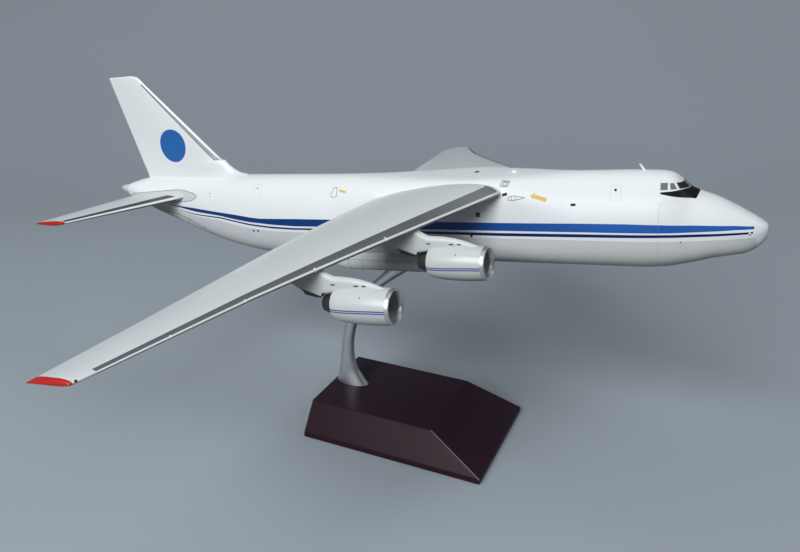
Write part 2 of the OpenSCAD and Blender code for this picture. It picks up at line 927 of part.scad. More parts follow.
engine_piece(0, true, core_shade) core_solid();  // engine_core_2
engine_piece(0, false, core_shade) core_solid();  // engine_core_3
engine_piece(1, false, core_shade) core_solid();  // engine_core_4
engine_piece(1, true, nozzle_shade) nozzle_solid();  // exhaust_nozzle_1
engine_piece(0, true, nozzle_shade) nozzle_solid();  // exhaust_nozzle_2
engine_piece(0, false, nozzle_shade) nozzle_solid();  // exhaust_nozzle_3
engine_piece(1, false, nozzle_shade) nozzle_solid();  // exhaust_nozzle_4
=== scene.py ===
import math
from functools import reduce

import bmesh
import bpy
from mathutils import Matrix, Vector


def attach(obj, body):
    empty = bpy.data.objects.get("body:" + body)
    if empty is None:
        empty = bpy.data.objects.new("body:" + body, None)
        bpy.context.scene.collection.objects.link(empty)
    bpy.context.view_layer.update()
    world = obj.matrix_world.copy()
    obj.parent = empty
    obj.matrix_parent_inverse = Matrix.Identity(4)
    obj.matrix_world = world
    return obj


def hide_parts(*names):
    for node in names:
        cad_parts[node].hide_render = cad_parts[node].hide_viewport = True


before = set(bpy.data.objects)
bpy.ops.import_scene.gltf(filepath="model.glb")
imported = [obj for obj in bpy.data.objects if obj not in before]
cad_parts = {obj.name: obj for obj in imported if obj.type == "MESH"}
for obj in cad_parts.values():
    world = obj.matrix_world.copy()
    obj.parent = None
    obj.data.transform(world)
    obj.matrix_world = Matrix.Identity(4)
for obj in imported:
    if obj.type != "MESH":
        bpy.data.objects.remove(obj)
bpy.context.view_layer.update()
bpy.context.scene.view_settings.view_transform = "Standard"
print("frame loaded:", len(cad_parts), "nodes")

# camera, from the fit of the stand and the aircraft to the photograph
cameraSettings = {
    "place": (0.137083, -0.321382, 0.232174), "tilt": 67.702, "turn": 24.477, "lens": 33.29, "sensor": 36,
    "nearest": 0.01,
}
bpy.ops.object.camera_add(
    location=cameraSettings["place"],
    rotation=(math.radians(cameraSettings["tilt"]), 0, math.radians(cameraSettings["turn"])),
)
camera = bpy.context.active_object
camera.data.lens = cameraSettings["lens"]
camera.data.sensor_width = cameraSettings["sensor"]
camera.data.clip_start = cameraSettings["nearest"]
bpy.context.scene.camera = camera

# the aircraft's own frame: millimetres aft of the nose, to the left and above the keel line
craftPose = {"socketX": -1.4, "keelHeight": 100.9, "pitch": 7.0, "socketStation": 160.0}
pitchTurn = math.radians(craftPose["pitch"])


def craft(s, y, z):
    x = craftPose["socketStation"] - s
    return Vector((
        craftPose["socketX"] + x * math.cos(pitchTurn) - z * math.sin(pitchTurn),
        y,
        craftPose["keelHeight"] + x * math.sin(pitchTurn) + z * math.cos(pitchTurn),
    )) / 1000


# modelling helpers
def leaveEdit():
    if bpy.context.mode != "OBJECT":
        bpy.ops.object.mode_set(mode="OBJECT")


def clearPick():
    leaveEdit()
    bpy.ops.object.select_all(action="DESELECT")


def pickOnly(piece):
    clearPick()
    piece.select_set(True)
    bpy.context.view_layer.objects.active = piece


def beginEdit(name):  # names the newest mesh and opens it for editing
    piece = bpy.context.active_object
    piece.name = name
    piece.data.name = name
    bpy.ops.object.transform_apply(location=True, rotation=True, scale=True)
    bpy.ops.object.mode_set(mode="EDIT")
    return piece


def endEdit(inside=False):  # turns all faces the same way round
    bpy.ops.mesh.select_all(action="SELECT")
    bpy.ops.mesh.normals_make_consistent(inside=inside)
    leaveEdit()


def startCircle(name, count):
    clearPick()
    bpy.ops.mesh.primitive_circle_add(vertices=count, radius=0.01)
    piece = beginEdit(name)
    bpy.ops.mesh.select_mode(type="VERT")
    bpy.ops.mesh.select_all(action="SELECT")
    return piece


def startCube(name, size, place):
    clearPick()
    bpy.ops.mesh.primitive_cube_add(size=1, location=place, scale=size)
    return beginEdit(name)


def placeLast(piece, ring):  # puts the ring that was extruded last on its section
    edit = bmesh.from_edit_mesh(piece.data)
    edit.verts.ensure_lookup_table()
    first = len(edit.verts) - len(ring)
    for k, point in enumerate(ring):
        edit.verts[first + k].co = point
    bmesh.update_edit_mesh(piece.data)


def growLoft(name, rings):  # one loop, extruded section by section, with both ends closed
    piece = startCircle(name, len(rings[0]))
    placeLast(piece, rings[0])
    for ring in rings[1:]:
        bpy.ops.mesh.extrude_region_move()
        placeLast(piece, ring)
    bpy.ops.mesh.select_all(action="SELECT")
    bpy.ops.mesh.fill_holes(sides=0)
    endEdit()
    return piece


def turnProfile(name, outline, steps):  # outline of (distance aft, radius), turned about the engine's axis
    piece = startCircle(name, len(outline))
    placeLast(piece, [(-a / 1000, 0, r / 1000) for a, r in outline])
    bpy.ops.mesh.spin(steps=steps, angle=2 * math.pi, center=(0, 0, 0), axis=(1, 0, 0))
    bpy.ops.mesh.select_all(action="SELECT")
    bpy.ops.mesh.remove_doubles(threshold=0.000002)
    endEdit()
    return piece


def startSelecting(piece, kind):
    bpy.ops.mesh.select_mode(type=kind)
    bpy.ops.mesh.select_all(action="DESELECT")
    return bmesh.from_edit_mesh(piece.data)


def selectFaces(piece, wanted):
    edit = startSelecting(piece, "FACE")
    for face in edit.faces:
        if wanted(face.calc_center_median(), face.normal):
            face.select_set(True)
    edit.select_flush(True)
    bmesh.update_edit_mesh(piece.data)


def selectEdges(piece, wanted):
    edit = startSelecting(piece, "EDGE")
    for edge in edit.edges:
        if wanted(edge.verts[0].co, edge.verts[1].co):
            edge.select_set(True)
    bmesh.update_edit_mesh(piece.data)


def extrudeBy(x, y, z):
    bpy.ops.mesh.extrude_region_move(TRANSFORM_OT_translate={"value": (x, y, z)})


def cutWith(piece, cutter, how):
    pickOnly(piece)
    cut = piece.modifiers.new("cut", "BOOLEAN")
    cut.object = cutter
    cut.operation = how
    cut.solver = "EXACT"
    bpy.ops.object.modifier_apply(modifier="cut")
    removePiece(cutter)


def copyPiece(piece, name):
    twin = piece.copy()
    twin.data = piece.data.copy()
    twin.name = name
    twin.data.name = name
    bpy.context.scene.collection.objects.link(twin)
    return twin


def removePiece(piece):
    bpy.data.objects.remove(piece, do_unlink=True)


def settle(piece, finish, slotName, body, nodes, angle=35):
    pickOnly(piece)
    bpy.ops.object.shade_smooth_by_angle(angle=math.radians(angle))
    piece.data.materials.clear()
    piece.data.materials.append(finish)
    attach(piece, body)
    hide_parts(*nodes)


def column(rows, k):
    return [row[k] for row in rows]


def spanOf(xs, x):  # which pair of neighbours x lies between
    return max(0, min(len(xs) - 2, sum(1 for v in xs if v <= x) - 1))


def turnsOf(count):
    return [2 * math.pi * k / count for k in range(count)]


def slopesOf(xs, ys):
    steps = [(ys[i + 1] - ys[i]) / (xs[i + 1] - xs[i]) for i in range(len(xs) - 1)]
    inner = [0 if a * b <= 0 else 2 * a * b / (a + b) for a, b in zip(steps, steps[1:])]
    return [steps[0]] + inner + [steps[-1]]


def smoothAt(rows, k, x):  # cubic through column k over the first column, with no overshoot
    xs, ys = column(rows, 0), column(rows, k)
    slopes = slopesOf(xs, ys)
    i = spanOf(xs, x)
    h = xs[i + 1] - xs[i]
    t = (x - xs[i]) / h
    return (
        (2 * t**3 - 3 * t**2 + 1) * ys[i]
        + (t**3 - 2 * t**2 + t) * h * slopes[i]
        + (3 * t**2 - 2 * t**3) * ys[i + 1]
        + (t**3 - t**2) * h * slopes[i + 1]
    )


def straightAt(rows, k, x):
    xs, ys = column(rows, 0), column(rows, k)
    i = spanOf(xs, x)
    t = (x - xs[i]) / (xs[i + 1] - xs[i])
    return ys[i] + t * (ys[i + 1] - ys[i])


# shader helpers, which find their node tree from the sockets they are given
def feed(socket, value):
    if isinstance(value, bpy.types.NodeSocket):
        socket.id_data.links.new(value, socket)
    else:
        socket.default_value = value


def addNode(tree, kind, values=None, **settings):
    made = tree.nodes.new(kind)
    for key, value in settings.items():
        setattr(made, key, value)
    for key, value in (values or {}).items():
        feed(made.inputs[key], value)
    return made


def calc(how, a, b=0.0, c=0.0, clamp=False):
    tree = next(v.id_data for v in (a, b, c) if isinstance(v, bpy.types.NodeSocket))
    return addNode(tree, "ShaderNodeMath", {0: a, 1: b, 2: c}, operation=how, use_clamp=clamp).outputs[0]


def times(a, b):
    return calc("MULTIPLY", a, b)


def minus(a, b):
    return calc("SUBTRACT", a, b)


def larger(a, b):
    return calc("MAXIMUM", a, b)


def above(value, limit, soft):  # 0 below the limit, 1 above it
    return calc("MULTIPLY_ADD", minus(value, limit), 1 / soft, 0.5, True)


def below(value, limit, soft):
    return calc("MULTIPLY_ADD", minus(limit, value), 1 / soft, 0.5, True)


def between(value, low, high, soft):
    return times(above(value, low, soft), below(value, high, soft))


def near(value, middle, half, soft):
    return between(value, middle - half, middle + half, soft)


def both(*masks):
    return reduce(times, masks)


def either(masks):
    return reduce(larger, masks)


def insideOf(a, b, points):  # distance inside a convex outline in the (a, b) plane
    centre = [sum(p[k] for p in points) / len(points) for k in (0, 1)]
    made = None
    for p, q in zip(points, points[1:] + points[:1]):
        n = (q[1] - p[1], p[0] - q[0])
        size = math.hypot(*n)
        n = (n[0] / size, n[1] / size)
        k = -(n[0] * p[0] + n[1] * p[1])
        if n[0] * centre[0] + n[1] * centre[1] + k < 0:
            n, k = (-n[0], -n[1]), -k
        gap = calc("MULTIPLY_ADD", b, n[1], calc("MULTIPLY_ADD", a, n[0], k))
        made = gap if made is None else calc("MINIMUM", made, gap)
    return made


def filled(a, b, points, soft):
    return above(insideOf(a, b, points), 0.0, soft)


def outlined(a, b, points, width, soft):
    gap = calc("ABSOLUTE", insideOf(a, b, points))
    return below(gap, width / 2, soft)


def strokes(a, b, points, width, soft):  # thin drawn lines from point to point
    made = []
    for p, q in zip(points, points[1:]):
        size = math.hypot(q[0] - p[0], q[1] - p[1])
        n = ((p[1] - q[1]) / size * width / 2, (q[0] - p[0]) / size * width / 2)
        corners = ((p, 1), (q, 1), (q, -1), (p, -1))
        made.append(filled(a, b, [(v[0] + w * n[0], v[1] + w * n[1]) for v, w in corners], soft))
    return made


def dot(a, b, place, radius, soft):
    da, db = minus(a, place[0]), minus(b, place[1])
    far = calc("SQRT", calc("ADD", times(da, da), times(db, db)))
    return below(far, radius, soft)


def lineAt(value, points):  # height of a drawn line at each value, straight between its points
    xs, ys = column(points, 0), column(points, 1)
    low, high = min(ys), max(ys)
    tree = value.id_data
    share = addNode(tree, "ShaderNodeMapRange", {"Value": value, "From Min": xs[0], "From Max": xs[-1]}, clamp=True)
    ramp = addNode(tree, "ShaderNodeValToRGB", {0: share.outputs[0]})
    stops = ramp.color_ramp.elements
    for k, (x, y) in enumerate(points):
        t = (x - xs[0]) / (xs[-1] - xs[0])
        grey = (y - low) / (high - low)
        stop = stops[0] if k == 0 else stops[len(stops) - 1] if k == len(points) - 1 else stops.new(t)
        stop.position = t
        stop.color = (grey, grey, grey, 1)
    return calc("MULTIPLY_ADD", ramp.outputs[0], high - low, low)


def layer(mask, under, over, share=1.0):  # one coat of paint over another
    mask = mask if share == 1.0 else times(mask, share)
    return addNode(mask.id_data, "ShaderNodeMix", {0: mask, 6: under, 7: over}, data_type="RGBA").outputs[2]


def noiseAt(place, scale, detail=2, **values):
    values.update({"Vector": place, "Scale": scale, "Detail": detail})
    return addNode(place.id_data, "ShaderNodeTexNoise", values).outputs[0]


def tinted(color, value):
    return addNode(value.id_data, "ShaderNodeHueSaturation", {"Color": color, "Value": value}).outputs[0]


def relief(shader, height, distance, strength):
    values = {"Height": height, "Distance": distance, "Strength": strength}
    feed(shader["Normal"], addNode(height.id_data, "ShaderNodeBump", values).outputs[0])


def startGroup(name, ins, outs):
    tree = bpy.data.node_groups.new(name, "ShaderNodeTree")
    for way, sockets in (("INPUT", ins), ("OUTPUT", outs)):
        for label, kind in sockets.items():
            tree.interface.new_socket(name=label, in_out=way, socket_type="NodeSocket" + kind)
    return addNode(tree, "NodeGroupInput").outputs, addNode(tree, "NodeGroupOutput").inputs


def useGroup(group, place, **values):
    values["Place"] = place
    return addNode(place.id_data, "ShaderNodeGroup", values, node_tree=group).outputs


def startMaterial(name, roughness, metallic=0.0, coat=0.0, coatRoughness=0.03, specular=0.5):
    material = bpy.data.materials.new(name)
    material.use_nodes = True
    shader = material.node_tree.nodes["Principled BSDF"].inputs
    shader["Roughness"].default_value = roughness
    shader["Metallic"].default_value = metallic
    shader["Coat Weight"].default_value = coat
    shader["Coat Roughness"].default_value = coatRoughness
    shader["Specular IOR Level"].default_value = specular
    return material, shader, addNode(material.node_tree, "ShaderNodeTexCoord").outputs["Object"]


def makeStationGroup():  # object place to station, side and height in the aircraft's frame, in millimetres
    start, end = startGroup(
        "stationFrame", {"Place": "Vector"}, {"Station": "Float", "Side": "Float", "Height": "Float"}
    )
    place = start["Place"]
    split = addNode(place.id_data, "ShaderNodeSeparateXYZ", {0: place}).outputs
    x = calc("MULTIPLY_ADD", split[0], 1000.0, -craftPose["socketX"])
    z = calc("MULTIPLY_ADD", split[2], 1000.0, -craftPose["keelHeight"])
    flat, rise = math.cos(pitchTurn), math.sin(pitchTurn)
    ahead = calc("ADD", times(x, flat), times(z, rise))
    feed(end["Station"], minus(craftPose["socketStation"], ahead))
    feed(end["Side"], times(split[1], 1000.0))
    feed(end["Height"], minus(times(z, flat), times(x, rise)))
    return place.id_data


def makeSprayGroup():  # sprayed enamel: faint orange peel, cloudy gloss and fine dust
    start, end = startGroup(
        "sprayedCoat", {"Place": "Vector", "Gloss": "Float", "Paint": "Color"},
        {"Color": "Color", "Roughness": "Float", "Peel": "Float"},
    )
    place, g = start["Place"], spraySettings
    cloud = minus(noiseAt(place, g["cloudScale"], 4), 0.5)
    specks = times(above(noiseAt(place, g["dustScale"], 1), g["dustFrom"], 0.06), g["dustShade"])
    shade = calc("ADD", times(cloud, g["cloudShade"]), 1.0)
    feed(end["Color"], tinted(start["Paint"], minus(shade, specks)))
    feed(end["Roughness"], calc("MULTIPLY_ADD", cloud, g["cloudGloss"], start["Gloss"], True))
    feed(end["Peel"], noiseAt(place, g["peelScale"], 2))
    return place.id_data


stationGroup = makeStationGroup()
spraySettings = {
    "peelScale": 900, "peelDepth": 0.00001, "peelStrength": 0.6,
    "cloudScale": 45, "cloudGloss": 0.16, "cloudShade": 0.06,
    "dustScale": 2600, "dustFrom": 0.74, "dustShade": 0.05,
}
sprayGroup = makeSprayGroup()


def sprayPaint(shader, place, color, gloss):  # ends a painted material
    coat = useGroup(sprayGroup, place, Gloss=gloss, Paint=color)
    feed(shader["Base Color"], coat["Color"])
    feed(shader["Roughness"], coat["Roughness"])
    relief(shader, coat["Peel"], spraySettings["peelDepth"], spraySettings["peelStrength"])


paint = {
    "white": (0.83, 0.85, 0.86, 1),
    "bellyGrey": (0.62, 0.64, 0.65, 1),
    "wingGrey": (0.65, 0.672, 0.682, 1),
    # the tailplane's own grey, also laid on the wing's inboard flaps as a painted highlight
    "tailGreyFlapSheen": (0.70, 0.72, 0.73, 1),
    "bandGrey": (0.10, 0.11, 0.115, 1),
    # a lighter band grey for the wing root, a painted reflection
    "bandRootSheen": (0.18, 0.19, 0.195, 1),
    "bandTail": (0.06, 0.066, 0.07, 1),
    "silver": (0.81, 0.82, 0.83, 1),
    "blue": (0.018, 0.11, 0.44, 1),
    # a darker blue for the stripe aft, a painted shade
    "blueAftShade": (0.003, 0.04, 0.19, 1),
    "navy": (0.002, 0.009, 0.12, 1),
    "red": (0.50, 0.009, 0.005, 1),
    "glass": (0.016, 0.017, 0.018, 1),
    "sideGlass": (0.17, 0.175, 0.18, 1),
    "black": (0.004, 0.004, 0.0045, 1),
    "line": (0.46, 0.48, 0.50, 1),
    "yellow": (0.72, 0.47, 0.05, 1),
    "roundel": (0.014, 0.13, 0.41, 1),
    "finBand": (0.27, 0.28, 0.29, 1),
    "radome": (0.80, 0.815, 0.83, 1),
    "joint": (0.50, 0.53, 0.58, 1),
    "rampGrey": (0.14, 0.145, 0.15, 1),
    "hatchBlue": (0.06, 0.075, 0.14, 1),
    "grille": (0.06, 0.063, 0.066, 1),
    "wingLine": (0.25, 0.26, 0.27, 1),
    "fairingLine": (0.12, 0.125, 0.13, 1),
    "cone": (0.66, 0.68, 0.70, 1),
    "cowlWhite": (0.60, 0.625, 0.62, 1),
    "cowlBlue": (0.016, 0.06, 0.31, 1),
    "cowlDot": (0.2, 0.21, 0.22, 1),
    "wedge": (0.012, 0.012, 0.013, 1),
    "slot": (0.05, 0.052, 0.055, 1),
    "duct": (0.50, 0.51, 0.52, 1),
}

# body shell: station, half width, crown, keel, height of greatest width
bodySettings = {
    "rows": [
        (0.9, 3.2, 18.2, 12.1, 15.4), (2.4, 5.1, 19.4, 10.2, 15.2), (4.8, 7, 21, 8.1, 15),
        (8.5, 9.2, 23.3, 6.3, 14.8), (13.5, 11.3, 26.2, 5.5, 14.6), (19.5, 13.3, 29.3, 4.75, 14.5),
        (26, 15, 31.8, 3.15, 14.5), (29.4, 15.7, 33.4, 2.35, 14.6), (32.2, 16.3, 35.9, 1.75, 14.7),
        (34.4, 16.7, 38, 1.3, 14.8), (36.8, 17.1, 39.6, 0.85, 14.9), (41, 17.6, 40.5, 0.4, 15),
        (47, 18, 40.8, 0.05, 15), (56, 18.2, 41, 0, 15), (165, 18.2, 41, 0, 15), (196, 18.2, 41.35, 0, 15),
        (226, 18.1, 41.7, 0.2, 15.6), (240, 17.7, 41.9, 1.2, 16.6), (254, 16.7, 42.1, 3.2, 18.6),
        (268, 15.2, 42.2, 6.2, 21.2), (285, 12.8, 42.3, 11.2, 24.8), (302, 10, 42.3, 17, 28.4),
        (318, 7.3, 42.1, 22.4, 31.6), (326, 5.9, 41.2, 25.7, 33.1), (331, 5, 40.2, 27.8, 33.9),
        (336, 4.1, 39, 29.9, 34.5), (339.6, 3.4, 38, 31.3, 34.7),
    ],
    # exponent of the upper section, which squares up over the wing roots
    "shoulder": [
        (76, 2), (88, 2.6), (97, 3.5), (105, 4.3), (113, 5.6), (123, 7.4), (133, 6.4), (145, 4.7), (158, 3.4),
        (175, 2.5), (196, 2),
    ],
    "keelExponent": 2.8,
    "sidePoints": 48,
    "noseHeight": 15.5,
    "visorStation": 41, "visorFront": 26, "visorRearHeight": 30, "visorFrontHeight": 31.2,
    "jointGap": 0.04, "cutLow": -5, "cutHigh": 38, "cutHalf": 30,
    "socketRadius": 5.03, "socketStart": -6, "socketDepth": 14.05,
    # sections close together round the nose, before the even ones
    "stations": [
        0, 0.03, 0.1, 0.22, 0.4, 0.62, 0.9, 1.4, 1.9, 2.4, 3.2, 4, 4.8, 6, 7.2, 8.5, 10, 11.8, 13.5, 15.5, 17.5,
        19.5, 21.5, 23.5, 25, 26.5, 28, 29.4, 30.4, 31.3, 32.2, 33, 33.8, 34.6, 35.4, 36.4, 37.4, 38.6, 39.8,
        41, 42.5, 44.5, 47, 50, 53, 56,
    ],
    "tailRings": [(338.8, 1.0), (339.3, 0.97), (339.6, 0.88)],
}


def bodyRow(s):
    rows = bodySettings["rows"]
    first = rows[0]
    if s < first[0]:  # the nose closes in a round cap
        t = math.sqrt(max(s, 0.0) / first[0])
        nose = bodySettings["noseHeight"]
        crown, keel = (nose + (v - nose) * max(t, 0.01) for v in first[2:4])
        return max(first[1] * t, 0.02), crown, keel, nose
    return tuple(smoothAt(rows, k, s) for k in (1, 2, 3, 4))


def bodyRing(s, shrink=1.0):
    half, crown, keel, mid = bodyRow(s)
    shoulder = bodySettings["shoulder"]
    held = min(max(s, shoulder[0][0]), shoulder[-1][0])
    upper, lower = 2 / smoothAt(shoulder, 1, held), 2 / bodySettings["keelExponent"]
    count = bodySettings["sidePoints"]
    side = []
    for j in range(count + 1):
        a = math.pi / 2 - math.pi * j / count
        if a >= 0:
            side.append((half * max(math.cos(a), 0) ** upper, mid + (crown - mid) * math.sin(a) ** upper))
        else:
            side.append((half * max(math.cos(a), 0) ** lower, mid - (mid - keel) * math.sin(-a) ** lower))
    middle = (crown + keel) / 2
    ring = side + [(-y, z) for y, z in side[-2:0:-1]]
    return [craft(s, y * shrink, middle + (z - middle) * shrink) for y, z in ring]


def buildBody():
    b = bodySettings
    stations = b["stations"] + list(range(60, 226, 4)) + list(range(226, 338, 3))
    rings = [bodyRing(s) for s in stations] + [bodyRing(s, shrink) for s, shrink in b["tailRings"]]
    whole = growLoft("bodyWhole", rings)
    fuselage = {}
    for name, node, sign in (("fuselageLeft", "fuselage_left", 1), ("fuselageRight", "fuselage_right", -1)):
        half = copyPiece(whole, name)
        cutWith(half, visorBlock(b["jointGap"]), "DIFFERENCE")
        cutWith(half, socketBore(), "DIFFERENCE")
        pickOnly(half)
        bpy.ops.object.mode_set(mode="EDIT")
        bpy.ops.mesh.select_all(action="SELECT")
        bpy.ops.mesh.bisect(
            plane_co=(0, 0, 0), plane_no=(0, 1, 0), use_fill=True, clear_inner=sign > 0, clear_outer=sign < 0,
            threshold=0.000001,
        )
        leaveEdit()
        fuselage[node] = half
    visor = copyPiece(whole, "noseVisor")
    cutWith(visor, visorBlock(0), "INTERSECT")
    removePiece(whole)
    fuselage["nose_visor"] = visor
    return fuselage


def visorBlock(gap):  # everything ahead of the visor joint and below its upper edge
    b = bodySettings
    rear, front = b["visorStation"] + gap, b["visorFront"] + gap
    low, high, half = b["cutLow"], b["cutHigh"], b["cutHalf"]
    outline = [
        (low, low), (rear, low), (rear, b["visorRearHeight"] + gap), (front, b["visorFrontHeight"] + gap),
        (front, high), (low, high),
    ]
    return growLoft("visorCutter", [[craft(s, y, z) for s, z in outline] for y in (-half, half)])


def socketBore():
    b = bodySettings
    middle, radius = craftPose["socketStation"], b["socketRadius"]
    return growLoft("boreCutter", [
        [craft(middle + radius * math.cos(t), radius * math.sin(t), z) for t in turnsOf(64)]
        for z in (b["socketStart"], b["socketDepth"])
    ])


# painted marks on the body, in station and height
bodyMarks = {
    "blueTop": [
        (5.6, 18.6), (12.5, 19.7), (25.7, 20.9), (39.8, 21.7), (53.5, 22.1), (107, 22.2), (196, 22.5), (217, 22.6),
        (238, 22.5), (244.3, 23.0), (254.8, 24.2), (265, 25.1), (283.4, 26.7), (304.5, 28.2),
    ],
    "blueBottom": [
        (5.6, 17.6), (12.4, 18.1), (25.6, 18.3), (53.4, 18.4), (144, 18.6), (202, 18.9), (217, 18.9), (230.6, 19.5),
        (238.1, 20.1), (244.7, 20.5), (255.2, 21.8), (265.2, 23.3), (283.8, 24.9), (304.5, 28.0),
    ],
    "navyTop": [
        (7.5, 16.75), (12.4, 17.0), (25.6, 17.45), (39.7, 17.65), (75, 17.6), (107, 17.5), (204.5, 18.0), (218, 18.0),
        (231, 18.5), (244.9, 19.6), (265.4, 22.6), (284.2, 23.5), (296, 25.5),
    ],
    "navyBottom": [
        (7.5, 15.95), (12.4, 16.1), (25.6, 16.35), (39.7, 16.45), (75, 16.2), (107, 16.1), (204.5, 17.1), (218, 17.1),
        (231, 17.6), (244.9, 18.8), (265.4, 21.9), (284.2, 23.0), (296, 25.2),
    ],
    "bellyTop": [
        (4.4, 14.2), (12.3, 14.5), (25.5, 14.7), (53, 14.8), (107, 15.0), (205, 15.6), (230, 16.1), (245, 17.2),
        (265.8, 20.6), (284.5, 22.4), (300, 25.6), (339, 31),
    ],
    # the last value on the next line is the station where the blue stripe's painted shade is half way
    "radome": 4.6, "radomeSoft": 0.4, "radomeSeam": 0.06, "blueShadeFrom": 110,
    "sideWindows": [
        [(41.1, 37.3), (38.3, 37.2), (38.1, 34.8), (40.9, 34.8)],
        [(37.5, 37.0), (36.1, 36.9), (34.7, 34.75), (37.1, 34.8)],
    ],
    "windshield": [(35.2, 36.85), (32.2, 36.3), (29.8, 33.95), (33.8, 34.65)],
    "antiGlare": [
        (40.9, 34.1), (33.4, 34.3), (31.2, 34.1), (29.2, 33.75), (26.2, 32.3), (27.5, 30.35), (40.8, 33.45),
    ],
    "doors": [
        [(60.7, 36.9), (56.5, 36.7), (56.0, 31.5), (60.4, 31.5)],
        [(243.5, 38.6), (238.6, 38.5), (238.4, 33.4), (243.2, 33.6)],
    ],
    "hatches": [
        [(107.5, 38.1), (107.1, 39.9), (103.7, 39.6), (104.2, 37.8)],
        [(106.6, 38.5), (106.3, 39.4), (104.5, 39.2), (104.9, 38.3)],
        [(195.9, 33.4), (195.3, 36.4), (194.2, 37.0), (193.0, 36.9), (192.4, 33.3), (193.3, 32.9), (195.1, 32.9)],
    ],
    "tear": [(103.7, 33.0), (103.4, 33.8), (100.5, 34.1), (96.4, 33.2), (100.9, 32.2), (103.4, 32.3)],
    "tearCuts": (102.2, 100.4),
    "arrows": [
        [(92.1, 34.3), (86.9, 32.7), (87.3, 31.1), (92.5, 32.8)],
        [(93.9, 33.9), (91.9, 35.2), (92.8, 32.2)],
        [(191.6, 36.3), (187.2, 35.5), (187.4, 34.7), (191.4, 35.4)],
    ],
    "vents": [
        [(76.8, 30.2), (74.7, 30.2), (74.7, 29.2), (76.8, 29.2)],
        [(106.2, 33.9), (104.0, 34.4), (104.2, 35.6), (106.3, 35.1)],
    ],
    "grille": [(118.8, 26.9), (116.7, 26.9), (116.8, 24.8), (118.8, 24.8)],
    "dots": [
        (58.6, 35.2, 0.5), (121.6, 15.8, 0.6), (6.4, 16.4, 0.42), (7.1, 15.6, 0.3), (32.4, 14.4, 0.28),
        (243, 15.9, 0.58), (240.1, 16.0, 0.58), (272.4, 34.7, 0.25), (272.1, 33.2, 0.25), (298, 22.4, 0.42),
        (290.3, 19.8, 0.42), (278.9, 16.0, 0.42), (241, 37, 0.32),
    ],
    "tailPlate": [
        (334.4, 33.3), (323.7, 34.2), (304.6, 35.7), (296.8, 36.2), (289.9, 35.6), (284.5, 34.5), (281.8, 33.3),
        (282.4, 32.2), (285.3, 30.8), (289.7, 30.2), (300, 29.3), (318, 29.8), (330, 31.2),
    ],
    "ramp": [(315.8, 24.5), (305.6, 23.6), (298.1, 22.5), (290.2, 20), (284, 17), (276, 12.6), (264, 7.4)],
    "hinge": [(43.3, 32.5), (42.2, 30.7), (40.6, 29.8), (39.7, 30.9), (36.1, 31.1)],
    "crownSpot": (123.7, 0.75, 1.0), "spotStretch": 0.5, "spotFrom": 38, "postHalf": 0.27,
    "jointHalf": 0.07, "hingeWidth": 0.12, "rampWidth": 0.6, "plateWidth": 0.4, "doorWidth": 0.14,
    "hatchWidth": 0.24, "cutHalf": 0.1, "gloss": 0.38, "dullRise": 0.4, "soft": 0.1,
}


def bodyMaterial():
    m, b = bodyMarks, bodySettings
    material, shader, place = startMaterial("bodyEnamel", m["gloss"], coat=0.08, coatRoughness=0.2, specular=0.2)
    s, y, z = useGroup(stationGroup, place)
    soft = m["soft"]

    def fill(*outlines):
        return [filled(s, z, points, soft) for points in outlines]

    coat = layer(below(z, lineAt(s, m["bellyTop"]), soft), paint["white"], paint["bellyGrey"])
    coat = layer(below(s, m["radome"], m["radomeSoft"]), coat, paint["radome"])
    coat = layer(near(s, m["radome"], m["radomeSeam"], soft), coat, paint["line"], 0.3)
    # painted shade: the blue stripe darkens from its blue at the nose to a darker blue aft, between stations 55 and
    # 165
    blueShading = layer(above(s, m["blueShadeFrom"], m["blueShadeFrom"]), paint["blue"], paint["blueAftShade"])
    for top, bottom, shade in (("blueTop", "blueBottom", blueShading), ("navyTop", "navyBottom", paint["navy"])):
        stripe = both(
            between(z, lineAt(s, m[bottom]), lineAt(s, m[top]), soft),
            between(s, m[top][0][0], m[top][-1][0], soft),
        )
        coat = layer(stripe, coat, shade)
    coat = layer(fill(m["tailPlate"])[0], coat, paint["bellyGrey"])
    joint = both(near(s, b["visorStation"], m["jointHalf"], soft), below(z, b["visorRearHeight"], soft))
    joint = either([joint] + strokes(s, z, m["hinge"], m["hingeWidth"], soft))
    coat = layer(joint, coat, paint["joint"], 0.4)
    ramp = strokes(s, z, m["ramp"], m["rampWidth"], soft) + [outlined(s, z, m["tailPlate"], m["plateWidth"], soft)]
    coat = layer(either(ramp), coat, paint["rampGrey"], 0.75)
    doors = [outlined(s, z, points, m["doorWidth"], soft) for points in m["doors"]]
    coat = layer(either(doors), coat, paint["line"], 0.55)
    hatches = [outlined(s, z, points, m["hatchWidth"], soft) for points in m["hatches"] + [m["tear"]]]
    hatches += [both(near(s, cut, m["cutHalf"], soft), *fill(m["tear"])) for cut in m["tearCuts"]]
    coat = layer(either(hatches), coat, paint["hatchBlue"])
    coat = layer(either(fill(*m["arrows"])), coat, paint["yellow"])
    coat = layer(either(fill(*m["sideWindows"])), coat, paint["sideGlass"])
    post = above(calc("ABSOLUTE", y), m["postHalf"], soft)
    coat = layer(both(*fill(m["windshield"]), post), coat, paint["glass"])
    dark = fill(m["antiGlare"], *m["vents"]) + [dot(s, z, d[:2], d[2], soft) for d in m["dots"]]
    spot = m["crownSpot"]
    across = times(y, m["spotStretch"])
    dark.append(both(dot(s, across, spot[:2], spot[2], soft), above(z, m["spotFrom"], soft)))
    dull = either(dark)
    coat = layer(dull, coat, paint["black"])
    coat = layer(fill(m["grille"])[0], coat, paint["grille"])
    sprayPaint(shader, place, coat, calc("MULTIPLY_ADD", dull, m["dullRise"], m["gloss"]))
    return material


enamel = bodyMaterial()
for node, piece in buildBody().items():
    settle(piece, enamel, "white_paint", "aircraft", [node])
print("body shell and visor done")

